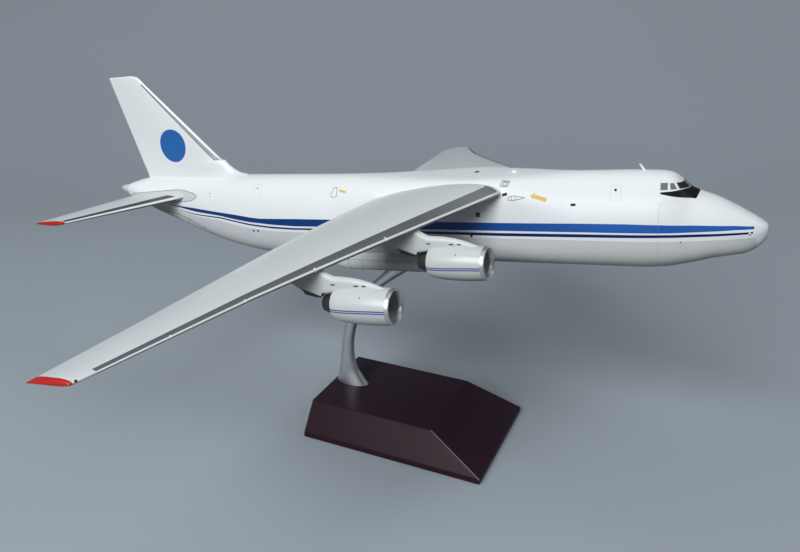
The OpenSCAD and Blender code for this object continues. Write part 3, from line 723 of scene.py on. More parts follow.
# flying surfaces: rows of span, leading edge station, chord
wingSettings = {
    "rows": [
        (20, 107.1, 63), (51, 125.6, 55), (76, 140.2, 47.3), (99, 153.2, 39.4), (123, 166.2, 31.9),
        (145, 176.4, 26.8), (180.5, 192.8, 19.5), (183.25, 194.8, 18.3),
    ],
    "rootHeight": 35.9, "fall": 0.1103, "angle": 3.0, "thick": 0.12, "camber": 0.015, "edgeHalf": 0.25,
    "stub": 3.0, "lastStep": 182.5, "step": 4.0, "tipRound": 0.7, "tipSkew": 1.0,
}
tailSettings = {
    "rows": [(9, 290.4, 42), (62.5, 325.6, 19.0), (65, 327.8, 17.2)],
    "height": 32.4, "angle": 0, "thick": 0.10, "camber": 0, "edgeHalf": 0.25,
    "stub": 1.5, "lastStep": 64.3, "step": 4.0, "tipRound": 0.6,
}
finSettings = {
    "rows": [
        (42.5, 253.6, 69.7), (43, 256.6, 66.8), (43.8, 259, 64.5), (45.4, 261.7, 62.2), (47.4, 264.3, 60.1),
        (50.3, 267, 58.2), (50.8, 269, 56.3), (93.5, 312.3, 23.3), (96.2, 314.7, 21.5), (97.5, 316.3, 20.2),
        (98.2, 318.4, 18.2), (98.6, 321, 15.7),
    ],
    "angle": 0, "thick": 0.095, "camber": 0, "edgeHalf": 0.25,
    "stub": 40.5, "lastStep": 98.0, "step": 3.0, "tipRound": 0.6,
}
sectionPoints = 28


def sectionRing(chord, shape, slim):  # (share of chord, aft, up) round one wing section
    turn = math.radians(shape["angle"])
    ring = []
    for k in range(-sectionPoints, sectionPoints + 1):
        u = (1 - math.cos(math.pi * abs(k) / sectionPoints)) / 2
        poly = 0.2969 * math.sqrt(u) - 0.126 * u - 0.3516 * u**2 + 0.2843 * u**3 - 0.1036 * u**4
        half = (5 * shape["thick"] * poly * chord + shape["edgeHalf"] * u) * slim
        up = 4 * shape["camber"] * u * (1 - u) * chord + (half if k < 0 else -half)
        a = u * chord
        aft = a * math.cos(turn) + up * math.sin(turn)
        ring.append((u if k < 0 else -u, aft, up * math.cos(turn) - a * math.sin(turn)))
    return ring


def tipShares(rows, reach):  # span values with a rounded last millimetre: (span, slimness)
    end = rows[-1][0]
    return [(end - reach * (1 - t), math.sqrt(max(0.0, 1 - t * t))) for t in (0.0, 0.35, 0.6, 0.8, 0.92, 0.985)]


def surfaceLoft(name, point, shape):
    rows = shape["rows"]
    spans = stepsOf(rows, shape["stub"], shape["lastStep"], shape["step"]) + tipShares(rows, shape["tipRound"])
    rings, shares = [], []
    for span, slim in spans:
        edge, chord = (straightAt(rows, k, max(span, rows[0][0])) for k in (1, 2))
        ring = sectionRing(chord, shape, slim)
        rings.append([point(span, edge + aft, up) for u, aft, up in ring])
        shares += column(ring, 0)
    piece = growLoft(name, rings)
    piece.data.attributes.new("chordShare", "FLOAT", "POINT").data.foreach_set("value", shares)
    return piece


def stepsOf(rows, start, last, step):
    spans = [start] + column(rows, 0)
    out = []
    for a, b in zip(spans, spans[1:]):
        n = max(1, round((b - a) / step))
        out += [a + (b - a) * k / n for k in range(n)]
    return [(v, 1.0) for v in out if v < last]


def buildWing(name, sign):
    w = wingSettings
    rootSpan, tip, before = w["rows"][0][0], w["rows"][-1], w["rows"][-2][0]

    def point(span, s, up):  # the tip runs out a little farther at its trailing edge
        out = max(0.0, span - before) / (tip[0] - before)
        skew = w["tipSkew"] * out * (s - tip[1]) / tip[2]
        return craft(s, sign * (span + skew), w["rootHeight"] - w["fall"] * (max(span, rootSpan) - rootSpan) + up)

    return surfaceLoft(name, point, w)


def buildTailplane(name, sign):
    height = tailSettings["height"]
    return surfaceLoft(name, lambda span, s, up: craft(s, sign * span, height + up), tailSettings)


def buildFin(name):
    return surfaceLoft(name, lambda span, s, up: craft(s, up, span), finSettings)


def readShare(place):  # share of the chord, written by the loft, minus below
    settings = {"attribute_name": "chordShare", "attribute_type": "GEOMETRY"}
    return addNode(place.id_data, "ShaderNodeAttribute", **settings).outputs["Fac"]


wingMarks = {
    "whiteRoot": [
        (100, 19.9), (107, 19.6), (110, 17.6), (114, 16.5), (126, 13.5), (135, 12), (148, 12.7), (155, 15),
        (161, 18), (172, 21),
    ],
    # the band is painted lighter near the root, fading out between 30 and 54 mm of span, a painted reflection
    "bandFrom": 12, "bandEnd": 175.5, "bandAft": 0.10, "silverLow": -0.001, "edgeLow": -0.02, "rootSheenFade": (42, 24),
    "silverTop": [(12, 0.006), (60, 0.008), (110, 0.0125), (176, 0.0165)],
    "flapLine": 0.84, "flapEnd": 105,
    # drawn lines along the span: share of chord, half width, fade, from, to
    "lines": [(0.84, 0.002, 0.002, 0, 105), (0.745, 0.004, 0.003, 107, 176), (0.62, 0.002, 0.002, 32, 105)],
    # drawn lines across it: span, share of chord where they start
    "cuts": [(32, 0.62), (56, 0.62), (80.5, 0.62), (105, 0.62), (107, 0.745), (141, 0.745), (176, 0.745)],
    "cutHalf": 0.1, "ticks": [70.9, 99.7, 126, 152.3], "tickHalf": 0.25, "tickShare": (-0.012, 0.024),
    "redFrom": [(194, 182.2), (203, 181.95), (212, 180.4)], "dot": (193.6, 181.3, 0.5),
    "soft": 0.1, "edgeSoft": 0.002, "bandSoft": 0.15, "coatSoft": 0.12, "gloss": 0.42,
}


def wingMaterial():
    m = wingMarks
    material, shader, place = startMaterial("wingEnamel", m["gloss"], coat=0.05, coatRoughness=0.12)
    s, y, z = useGroup(stationGroup, place)
    side, u = calc("ABSOLUTE", y), readShare(place)
    soft = m["soft"]
    # painted highlight: the inboard flaps are painted a lighter grey where their slope catches more light
    flap = both(above(u, m["flapLine"], 0.004), below(side, m["flapEnd"], soft))
    coat = layer(flap, paint["wingGrey"], paint["tailGreyFlapSheen"])
    lines = [both(near(u, at, half, fade), between(side, a, b, soft)) for at, half, fade, a, b in m["lines"]]
    lines += [both(near(side, cut, m["cutHalf"], soft), above(u, start, 0.003)) for cut, start in m["cuts"]]
    coat = layer(either(lines), coat, paint["wingLine"], 0.45)
    along = between(side, m["bandFrom"], m["bandEnd"], m["bandSoft"])
    band = both(between(u, m["edgeLow"], m["bandAft"], m["edgeSoft"]), along)
    # painted reflection: the band is lighter near the wing root
    coat = layer(band, coat, layer(below(side, *m["rootSheenFade"]), paint["bandGrey"], paint["bandRootSheen"]))
    bright = both(between(u, m["silverLow"], lineAt(side, m["silverTop"]), m["edgeSoft"]), along)
    coat = layer(bright, coat, paint["silver"])
    ticks = either([near(side, tick, m["tickHalf"], soft) for tick in m["ticks"]])
    coat = layer(both(ticks, between(u, *m["tickShare"], 0.003)), coat, paint["white"])
    coat = layer(below(side, lineAt(s, m["whiteRoot"]), m["coatSoft"]), coat, paint["white"])
    upper = above(u, 0.0, 0.002)
    coat = layer(both(dot(s, side, m["dot"][:2], m["dot"][2], soft), upper), coat, paint["black"])
    coat = layer(above(side, lineAt(s, m["redFrom"]), m["coatSoft"]), coat, paint["red"])
    sprayPaint(shader, place, coat, m["gloss"])
    return material


tailMarks = {
    "bandAft": 0.185, "silverTop": 0.035, "silverLow": -0.003, "edgeLow": -0.05, "bandFrom": 13.6, "bandEnd": 62.4,
    "redFrom": 62.8, "elevator": 0.72, "elevatorEnd": 60, "soft": 0.1, "edgeSoft": 0.003, "gloss": 0.42,
}


def tailplaneMaterial():
    m = tailMarks
    material, shader, place = startMaterial("tailplaneEnamel", m["gloss"], coat=0.05)
    s, y, z = useGroup(stationGroup, place)
    side, u = calc("ABSOLUTE", y), readShare(place)
    soft, edgeSoft = m["soft"], m["edgeSoft"]
    hinge = both(near(calc("ABSOLUTE", u), m["elevator"], 0.004, edgeSoft), below(side, m["elevatorEnd"], soft))
    coat = layer(hinge, paint["tailGreyFlapSheen"], paint["wingLine"], 0.5)
    along = between(side, m["bandFrom"], m["bandEnd"], soft)
    coat = layer(both(between(u, m["edgeLow"], m["bandAft"], edgeSoft), along), coat, paint["bandTail"])
    coat = layer(both(between(u, m["silverLow"], m["silverTop"], edgeSoft), along), coat, paint["silver"])
    coat = layer(above(side, m["redFrom"], soft), coat, paint["red"])
    sprayPaint(shader, place, coat, m["gloss"])
    return material


finMarks = {
    "bandFrom": 50.6, "bandTo": 93.6, "stripLow": 0.016, "stripHigh": 0.037, "bandLow": 0.08, "bandHigh": 0.10,
    "roundel": (299.5, 59.5, 9.1), "rudder": 0.66, "rudderSpan": (46, 94), "rudderSplit": 70, "splitHalf": 0.1,
    "stripShine": 0.3, "soft": 0.1, "edgeSoft": 0.003, "bandSoft": 0.15, "gloss": 0.38,
}


def finMaterial():
    m = finMarks
    material, shader, place = startMaterial("finEnamel", m["gloss"], coat=0.08, coatRoughness=0.2)
    s, y, z = useGroup(stationGroup, place)
    u = calc("ABSOLUTE", readShare(place))
    soft, edgeSoft = m["soft"], m["edgeSoft"]
    hinge = both(near(u, m["rudder"], 0.0025, 0.002), between(z, *m["rudderSpan"], soft))
    split = both(above(u, m["rudder"], edgeSoft), near(z, m["rudderSplit"], m["splitHalf"], soft))
    coat = layer(either([hinge, split]), paint["white"], paint["line"], 0.12)
    low, high = m["bandFrom"], m["bandTo"]
    aft = lineAt(z, [(low, m["bandLow"]), (high, m["bandHigh"])])
    fore = lineAt(z, [(low, m["stripLow"]), (high, m["stripHigh"])])
    tall = between(z, low, high, m["bandSoft"])
    coat = layer(both(between(u, fore, aft, edgeSoft), tall), coat, paint["finBand"])
    bright = both(below(u, fore, edgeSoft), tall)
    coat = layer(bright, coat, paint["silver"])
    coat = layer(dot(s, z, m["roundel"][:2], m["roundel"][2], soft), coat, paint["roundel"])
    feed(shader["Metallic"], times(bright, m["stripShine"]))
    sprayPaint(shader, place, coat, m["gloss"])
    return material


wingFinish = wingMaterial()
tailFinish = tailplaneMaterial()
for side, sign in (("Left", 1), ("Right", -1)):
    node = "_" + side.lower()
    settle(buildWing("wing" + side, sign), wingFinish, "grey_paint", "aircraft", ["wing" + node])
    settle(buildTailplane("tailplane" + side, sign), tailFinish, "grey_paint", "aircraft", ["tailplane" + node])
settle(buildFin("finPiece"), finMaterial(), "white_paint", "aircraft", ["fin"])
print("flying surfaces done")

# tail cone, antennas and gear fairings
coneSettings = {
    "station": 339.6, "height": 34.7, "rise": 0.18,
    "outline": [
        (-4.5, 0.0), (-4.5, 1.15), (0.05, 1.15), (0.05, 3.1), (1.2, 2.86), (2.4, 2.52), (4, 1.98), (5.3, 1.52),
        (6.4, 1.0), (6.95, 0.55), (7.1, 0.0),
    ],
}


def placeInCraft(piece, s, y, z):
    turn = Matrix.Rotation(-pitchTurn, 4, "Y")
    piece.data.transform(Matrix.Translation(craft(s, y, z)) @ turn)
    piece.data.update()


def plainPaint(name, color, gloss):
    material, shader, place = startMaterial(name, gloss, coat=0.2)
    sprayPaint(shader, place, color, gloss)
    return material


whitePaint = plainPaint("antennaWhite", paint["white"], 0.22)
cone = turnProfile("tailCone", coneSettings["outline"], 48)
lean = Matrix.Identity(4)
lean[2][0] = -coneSettings["rise"]  # it points up a little
cone.data.transform(lean)
placeInCraft(cone, coneSettings["station"], 0, coneSettings["height"])
settle(cone, plainPaint("conePaint", paint["cone"], 0.25), "cone_paint", "aircraft", ["tail_cone"])

antennaSettings = {
    "bladeStation": 47.9, "bladeLong": 1.3, "bladeThick": 0.8, "bladeTall": 3.4, "bladeFoot": 0.8, "sweep": 1.8,
    "crown": 41.0, "sink": 0.8, "domeStation": 105.2,
    "dome": [
        (-1.4, 0.0), (-1.4, 0.6), (-0.2, 0.6), (-0.2, 1.5), (0.1, 1.5), (0.35, 1.42), (0.6, 1.22), (0.85, 0.9),
        (1.02, 0.5), (1.1, 0.0),
    ],
}


def buildBlade():
    a = antennaSettings
    long, thick, foot = a["bladeLong"] / 1000, a["bladeThick"] / 1000, a["bladeFoot"] / 1000
    piece = startCube("bladeAntenna", (long, thick, foot), (0, 0, foot / 2))
    selectFaces(piece, lambda c, n: n.z > 0.9)
    extrudeBy(-a["sweep"] / 1000, 0, a["bladeTall"] / 1000 - foot)
    bpy.ops.transform.resize(value=(0.65, 0.45, 1))
    selectEdges(piece, lambda p, q: abs(p.z - q.z) > 0.0005 or min(p.z, q.z) > 0.003)
    bpy.ops.mesh.bevel(offset=0.00013, segments=3, affect="EDGES")
    leaveEdit()
    placeInCraft(piece, a["bladeStation"] + a["bladeLong"] / 2, 0, a["crown"] - a["sink"])
    return piece


settle(buildBlade(), whitePaint, "white_paint", "aircraft", ["blade_antenna"])
dome = turnProfile("domeAntenna", antennaSettings["dome"], 40)
dome.data.transform(Matrix.Rotation(math.radians(90), 4, "Y"))  # its axis stands up from the crown
placeInCraft(dome, antennaSettings["domeStation"], 0, antennaSettings["crown"])
settle(dome, whitePaint, "white_paint", "aircraft", ["dome_antenna"])

fairingSettings = {
    "rows": [(126, 0.04), (129, 0.4), (134, 0.8), (141, 1), (160, 1), (187, 1), (195, 0.8), (203, 0.4), (208, 0.04)],
    "face": [(17.0, 4.9), (19.2, 3.0), (19.8, 0.2), (19.0, -2.2), (16.4, -3.2), (11.4, -2.6)],
    "bodyStation": 140, "firstAngle": 14, "angleCount": 20, "sink": 0.07,
    "stations": [
        126, 126.6, 127.4, 128.2, 129, 130.5, 132, 133.5, 135, 137, 139, 141, *range(144, 187, 4), 187, 189, 191, 193,
        195, 197, 199, 201, 203, 204.5, 206, 207, 208,
    ],
    "cuts": [153.2, 161.9, 170, 179.15], "cutHalf": 0.1, "edge": 2.75, "edgeHalf": 0.12, "edgeSpan": (140, 187.2),
    "slant": [(187.3, 3.2), (187.1, 0.9), (186.3, -1.5), (185.9, -4)], "slantWidth": 0.35,
    "dot": (165.9, 2.5, 0.4), "soft": 0.1, "gloss": 0.28,
}


def buildFairing(name, sign):
    f = fairingSettings
    power = 2 / bodySettings["keelExponent"]
    half, crown, keel, mid = bodyRow(f["bodyStation"])
    face = [(j, y, z) for j, (y, z) in enumerate(f["face"])]
    skin = []
    for j in range(len(face)):
        a = math.pi / 2 - math.pi * (f["firstAngle"] + j) / f["angleCount"]
        skin.append((j, half * math.cos(a) ** power, mid - (mid - keel) * math.sin(-a) ** power))
    fine = [k / 4 for k in range(4 * (len(skin) - 1) + 1)]
    rings = []
    for s in f["stations"]:
        share = smoothAt(f["rows"], 1, s)
        outer, inner = [], []
        for k in fine:
            p, q = ([smoothAt(rows, c, k) for c in (1, 2)] for rows in (skin, face))
            outer.append((p[0] + share * (q[0] - p[0]), p[1] + share * (q[1] - p[1])))
            inner.append((p[0] * (1 - f["sink"]), p[1] + (mid - p[1]) * f["sink"]))
        rings.append([craft(s, sign * y, z) for y, z in outer + inner[::-1]])
    return growLoft(name, rings)


def fairingMaterial():
    f = fairingSettings
    material, shader, place = startMaterial("fairingEnamel", f["gloss"], coat=0.2)
    s, y, z = useGroup(stationGroup, place)
    soft, edge = f["soft"], f["edge"]
    cuts = either([near(s, cut, f["cutHalf"], soft) for cut in f["cuts"]])
    lines = [both(cuts, below(z, edge, soft)), both(near(z, edge, f["edgeHalf"], soft), between(s, *f["edgeSpan"], 0.2))]
    lines += strokes(s, z, f["slant"], f["slantWidth"], soft)
    coat = layer(either(lines), paint["bellyGrey"], paint["fairingLine"], 0.7)
    coat = layer(dot(s, z, f["dot"][:2], f["dot"][2], soft), coat, paint["black"])
    sprayPaint(shader, place, coat, f["gloss"])
    return material


fairingFinish = fairingMaterial()
for name, node, sign in (("gearFairingLeft", "gear_fairing_left", 1), ("gearFairingRight", "gear_fairing_right", -1)):
    settle(buildFairing(name, sign), fairingFinish, "grey_paint", "aircraft", [node])
print("tail cone, antennas and fairings done")

# engines: span, intake station, axis height, for 1 left outer, 2 left inner, 3 right inner, 4 right outer
engineSettings = {
    "places": {1: (95.5, 124.1, 12.5), 2: (56, 100.65, 16.6), 3: (-56, 100.65, 16.6), 4: (-95.5, 124.1, 12.5)},
    "ring": [
        (1.72, 5.6), (1.3, 5.72), (0.9, 5.82), (0.6, 5.94), (0.36, 6.08), (0.16, 6.25), (0.06, 6.4), (0.03, 6.5),
        (0.08, 6.62), (0.2, 6.73), (0.42, 6.82), (0.8, 6.89), (1.25, 6.94), (1.72, 6.97),
    ],
    "cowl": [
        (1.75, 5.6), (1.75, 6.97), (3, 7.07), (5.4, 7.22), (7.6, 7.35), (10, 7.42), (12.4, 7.43), (14.4, 7.4),
        (16.6, 7.31), (18.6, 7.19), (20.4, 7.02), (21.8, 6.84), (23, 6.62), (24, 6.36), (24.8, 6.04),
        (25.25, 5.76), (25.45, 5.52), (25.5, 5.3), (25.45, 5.12), (23.6, 5.16), (22, 5.25), (19.8, 5.44),
        (17.5, 5.6), (10, 5.6),
    ],
    "nozzle": [
        (17.5, 2.63), (17.5, 3.3), (20, 4.1), (22, 4.3), (23.5, 4.35), (25.2, 4.28), (26.6, 4.1), (28, 3.82),
        (29.3, 3.48), (29.9, 3.28), (30.08, 3.18), (30.1, 3.06), (30.05, 2.96), (29.6, 2.92), (28, 2.95),
        (26, 3.0), (22, 2.95), (21, 2.63),
    ],
    "spinner": [
        (4.0, 0.0), (4.05, 0.2), (4.2, 0.52), (4.6, 0.88), (5.1, 1.12), (5.8, 1.38), (6.5, 1.54), (7, 1.6), (8.8, 1.6),
        (8.8, 0.8), (18, 0.8), (18, 0.0),
    ],
    "blades": 18, "bladeRoot": 1.3, "bladeTip": 5.2, "bladeMiddle": 7.9, "bladeChord": 1.9, "bladeThick": 0.26,
    "bladeTurn": 28, "bladeTwist": 32, "bladeBow": 0.16, "ductReach": 0.0057,
}
cowlMarks = {
    "lineRise": {1: 0.5, 2: 0.0}, "lines": [(-0.15, 0.33), (-0.95, -0.47)], "dropFrom": 8.0, "dropSlope": 0.045,
    "seams": [(16.9, 17.1), (6.9, 7.05)], "dot": (12, 5.0, 0.3), "soft": 0.1, "gloss": 0.32,
}


def engineFrame(place, number):  # distances aft of the intake and above the engine's axis
    y, s, z = engineSettings["places"][number]
    station, side, height = useGroup(stationGroup, place)
    return minus(station, s), minus(height, z)


def buildBlades():  # one twisted blade, copied round the hub
    e = engineSettings
    rings = []
    for k in range(7):
        t = k / 6
        radius = e["bladeRoot"] + (e["bladeTip"] - e["bladeRoot"]) * t
        turn = math.radians(e["bladeTurn"] + e["bladeTwist"] * t)
        chord = e["bladeChord"] * (0.86 + 0.2 * t - 0.1 * t * t)
        ring = []
        for a in turnsOf(12):
            along, across = chord / 2 * math.cos(a), e["bladeThick"] / 2 * (1 - 0.45 * t) * math.sin(a)
            across += e["bladeBow"] * (1 - math.cos(a) ** 2) - e["bladeBow"] / 2
            x = -e["bladeMiddle"] + along * math.cos(turn) - across * math.sin(turn)
            y = along * math.sin(turn) + across * math.cos(turn)
            ring.append(Vector((x, y, math.sqrt(max(radius * radius - y * y, 0)))) / 1000)
        rings.append(ring)
    made = [growLoft("fanBlade", rings)]
    for k, turn in enumerate(turnsOf(e["blades"])[1:], 1):
        twin = copyPiece(made[0], "fanBlade%d" % k)
        twin.data.transform(Matrix.Rotation(turn, 4, "X"))
        made.append(twin)
    return made


def buildFan(name):
    hub = turnProfile(name, engineSettings["spinner"], 48)
    blades = buildBlades()
    pickOnly(hub)
    for blade in blades:
        blade.select_set(True)
    bpy.ops.object.join()
    return hub


# rows of distance ahead of the intake, lower edge, upper edge and half width
pylonSettings = {
    "rows": [
        (-2.9, 5.9, 6.5, 0.2), (-3.6, 5.9, 7.05, 0.5), (-4.8, 5.9, 7.55, 0.8), (-7, 5.9, 8.4, 1.15),
        (-9.7, 5.9, 9.3, 1.4), (-14, 5.9, 10.3, 1.62), (-18.5, 5.9, 10.85, 1.75), (-22, 5.8, 11.0, 1.8), (-25.2, 5.5, 11.1, 1.8),
        (-26.4, 5.0, 11.6, 1.8), (-28.7, 4.7, 12.8, 1.8), (-30.4, 4.5, 14.1, 1.8), (-31.2, 2.6, 14.8, 1.8),
        (-33.2, 2.6, 15.4, 1.78), (-36.6, 3.2, 15.2, 1.7), (-38.2, 3.5, 15.0, 1.6), (-38.8, 4.8, 15.0, 1.58),
        (-45.2, 8.3, 14.6, 1.2), (-50.7, 11.5, 14.2, 0.6), (-52.6, 13.2, 14.0, 0.3),
    ],
    "crest": 2.4,
    "wedge": [(-39.6, 6.0), (-39.6, 2.0), (-30.0, 2.0), (-30.0, 3.0)],
    "slots": [(-25.8, -24.0, 8.2), (-15.9, -14.1, 8.1), (-12.5, -11.0, 8.1)], "slotHalf": 0.3,
    "soft": 0.1, "gloss": 0.4,
}


def buildPylon(name):
    arc = [math.radians(a) for a in range(81, -1, -9)]
    rings = []
    for x, low, top, half in pylonSettings["rows"]:
        crest = min(pylonSettings["crest"], 0.8 * (top - low))
        side = [(half * math.cos(a), top - crest * (1 - math.sin(a))) for a in arc]
        side += [(half, top - crest - (top - crest - low) * t) for t in (0.35, 0.7, 0.95)] + [(half * 0.93, low)]
        ring = [(0, top)] + side + [(-y, z) for y, z in side[::-1]]
        rings.append([Vector((x, y, z)) / 1000 for y, z in ring])
    return growLoft(name, rings)


def cowlMaterial(name, number):
    c = cowlMarks
    material, shader, place = startMaterial(name, c["gloss"], coat=0.12, coatRoughness=0.15)
    along, up = engineFrame(place, number)
    drop = times(larger(minus(along, c["dropFrom"]), 0.0), c["dropSlope"])
    level = minus(calc("ADD", up, drop), c["lineRise"][number])
    lines = either([between(level, low, high, 0.12) for low, high in c["lines"]])
    coat = layer(lines, paint["cowlWhite"], paint["cowlBlue"])
    seams = either([between(along, start, end, c["soft"]) for start, end in c["seams"]])
    coat = layer(seams, coat, paint["line"], 0.12)
    coat = layer(dot(along, up, c["dot"][:2], c["dot"][2], c["soft"]), coat, paint["cowlDot"])
    sprayPaint(shader, place, coat, c["gloss"])
    return material


def pylonMaterial(name, number):
    p = pylonSettings
    material, shader, place = startMaterial(name, p["gloss"], coat=0.05)
    along, up = engineFrame(place, number)
    ahead, soft = times(along, -1.0), p["soft"]
    coat = layer(filled(ahead, up, p["wedge"], soft), paint["cowlWhite"], paint["wedge"])
    slots = [both(between(ahead, a, b, soft), near(up, h, p["slotHalf"], soft)) for a, b, h in p["slots"]]
    coat = layer(either(slots), coat, paint["slot"])
    sprayPaint(shader, place, coat, p["gloss"])
    return material


def mottle(shader, cloud, color, roughness, glossSpread, shadeSpread):  # uneven gloss and colour
    lift = minus(cloud, 0.5)
    feed(shader["Roughness"], calc("MULTIPLY_ADD", lift, glossSpread, roughness, True))
    feed(shader["Base Color"], tinted(color, calc("MULTIPLY_ADD", lift, shadeSpread, 1.0)))


def metalMaterial(name, color, roughness, grain, stretch=(1, 1, 1)):  # metal with fine lines along one way
    material, shader, place = startMaterial(name, roughness, metallic=1.0)
    mapped = addNode(place.id_data, "ShaderNodeMapping", {"Scale": stretch, "Vector": place}).outputs[0]
    noise = noiseAt(mapped, grain, 5)
    mottle(shader, noise, color, roughness, 0.18, 0.16)
    relief(shader, noise, 0.00001, 0.35)
    return material


def moulded(name, color, roughness):  # moulded plastic with a fine sparked texture
    material, shader, place = startMaterial(name, roughness)
    mottle(shader, noiseAt(place, 60), color, roughness, 0.2, 0.2)
    relief(shader, noiseAt(place, 1800, 4), 0.00002, 0.5)
    return material


ringMetal = metalMaterial("satinRing", (0.54, 0.55, 0.56, 1), 0.44, 700)
fanMetal = metalMaterial("fanMetal", (0.34, 0.35, 0.36, 1), 0.34, 900)
nozzlePlastic = moulded("nozzleSatin", (0.018, 0.019, 0.02, 1), 0.5)
corePlastic = moulded("coreGrey", (0.11, 0.115, 0.12, 1), 0.5)
ductPaint = plainPaint("ductSilver", paint["duct"], 0.26)
outerPaints = cowlMaterial("outerCowlEnamel", 1), pylonMaterial("outerPylonEnamel", 1)
innerPaints = cowlMaterial("innerCowlEnamel", 2), pylonMaterial("innerPylonEnamel", 2)

patterns = {
    "cowl": turnProfile("cowlPattern", engineSettings["cowl"], 96),
    "ring": turnProfile("ringPattern", engineSettings["ring"], 96),
    "nozzle": turnProfile("nozzlePattern", engineSettings["nozzle"], 72),
    "fan": buildFan("fanPattern"),
    "pylon": buildPylon("pylonPattern"),
}
for number, (y, s, z) in engineSettings["places"].items():
    cowlPaint, pylonPaint = outerPaints if number in (1, 4) else innerPaints
    finishes = {
        "cowl": (cowlPaint, "cowl_plastic", "aircraft", "cowl_%d"),
        "ring": (ringMetal, "ring_chrome", "aircraft", "intake_ring_%d"),
        "nozzle": (nozzlePlastic, "nozzle_plastic", "aircraft", "exhaust_nozzle_%d"),
        "fan": (fanMetal, "fan_plastic", "fan_%d" % number, "fan_%d"),
        "pylon": (pylonPaint, "cowl_plastic", "aircraft", "pylon_%d"),
    }
    for kind, (finish, slotName, body, node) in finishes.items():
        piece = copyPiece(patterns[kind], "%s%d" % (kind, number))
        placeInCraft(piece, s, y, z)
        settle(piece, finish, slotName, body, [node % number], 40)
        if kind == "cowl":  # the inside of the duct is bare silver
            piece.data.materials.append(ductPaint)
            ahead = Vector((math.cos(pitchTurn), 0, math.sin(pitchTurn)))
            for face in piece.data.polygons:
                away = face.center - craft(s, y, z)
                away = away - ahead * away.dot(ahead)
                if face.normal.dot(away) < 0 and away.length < engineSettings["ductReach"]:
                    face.material_index = 1
for pattern in patterns.values():
    removePiece(pattern)
print("engines done")

# stand: lacquered base block, felt and swan-neck arm
baseSettings = {
    "long": 99.4, "wide": 72.2, "tall": 18.2, "foot": 0.4, "lip": 3.4, "frontSlope": 29.4, "sideSlope": 9.1,
    "rearSlope": 0.6, "feltGap": 4.47, "feltRecess": 0.62, "round": 0.45, "edgeArea": 0.00003,
    "fleckScale": 1500, "fleckFrom": 0.66, "fleckColor": (0.05, 0.02, 0.03, 1), "cloudScale": 25, "gloss": 0.38,
}


def buildBase():
    b = baseSettings
    long, wide, front, rear = (b[key] / 1000 for key in ("long", "wide", "frontSlope", "rearSlope"))
    lip = (b["lip"] - b["foot"]) / 1000
    piece = startCube("standBase", (long, wide, lip), (0, 0, b["foot"] / 1000 + lip / 2))
    selectFaces(piece, lambda c, n: n.z > 0.9)
    extrudeBy(0, 0, (b["tall"] - b["lip"]) / 1000)
    bpy.ops.transform.resize(value=((long - front - rear) / long, 1 - 2 * b["sideSlope"] / b["wide"], 1))
    bpy.ops.transform.translate(value=((rear - front) / 2, 0, 0))
    selectEdges(piece, lambda p, q: True)
    bpy.ops.mesh.bevel(offset=b["round"] / 1000, segments=4, affect="EDGES", profile=0.6)
    selectFaces(piece, lambda c, n: n.z < -0.99 and abs(c.x) < 0.005)
    bpy.ops.mesh.inset(thickness=(b["feltGap"] - b["round"]) / 1000)
    extrudeBy(0, 0, b["feltRecess"] / 1000)
    endEdit()
    return piece


def baseMaterial(name, low, high):  # dark wine lacquer with a faint fleck and a cloudy satin
    material, shader, place = startMaterial(name, 0.36, specular=0.1)
    b = baseSettings
    fleck, cloud = noiseAt(place, b["fleckScale"], 6), noiseAt(place, b["cloudScale"], 4)
    coat = layer(cloud, low, high)
    feed(shader["Base Color"], layer(above(fleck, b["fleckFrom"], 0.08), coat, b["fleckColor"], 0.35))
    feed(shader["Roughness"], calc("MULTIPLY_ADD", minus(cloud, 0.5), 0.14, b["gloss"], True))
    relief(shader, fleck, 0.00002, 0.35)
    return material


standBase = buildBase()
lacquer = baseMaterial("wineLacquer", (0.026, 0.011, 0.019, 1), (0.034, 0.014, 0.024, 1))
settle(standBase, lacquer, "base_lacquer", "stand", ["stand_base"], 25)
# a lighter copy of the lacquer, used as a painted highlight on the corner edges
standBase.data.materials.append(baseMaterial("edgeHighlightLacquer", (0.2, 0.145, 0.17, 1), (0.27, 0.2, 0.23, 1)))
for face in standBase.data.polygons:  # the sloping corner edges that face up are painted lighter, a painted highlight
    if face.area < baseSettings["edgeArea"] and min(abs(face.normal.x), abs(face.normal.y)) > 0.1 < face.normal.z:
        face.material_index = 1

armSettings = {
    "rows": [
        (-38.5, 18.2, 9.5, 4.6), (-39.6, 21, 7.8, 4.1), (-40.8, 26, 5.7, 3.4), (-41.1, 33, 4.2, 3),
        (-40.8, 41, 3.5, 2.7), (-39.7, 49, 3.3, 2.6), (-37.8, 56, 3.2, 2.6), (-34.6, 63.5, 3.1, 2.6),
        (-29.6, 71.5, 2.9, 2.5), (-22.8, 79.8, 2.6, 2.5), (-14.6, 87.6, 3.2, 2.7), (-6.8, 94.6, 4.1, 3.2),
    ],
    "topHalf": 4.6, "topThick": 3.9, "gap": 0.3, "ends": 8, "sections": 60, "points": 40,
    "prong": 2.5, "prongLong": 11, "prongRound": 0.5,
}


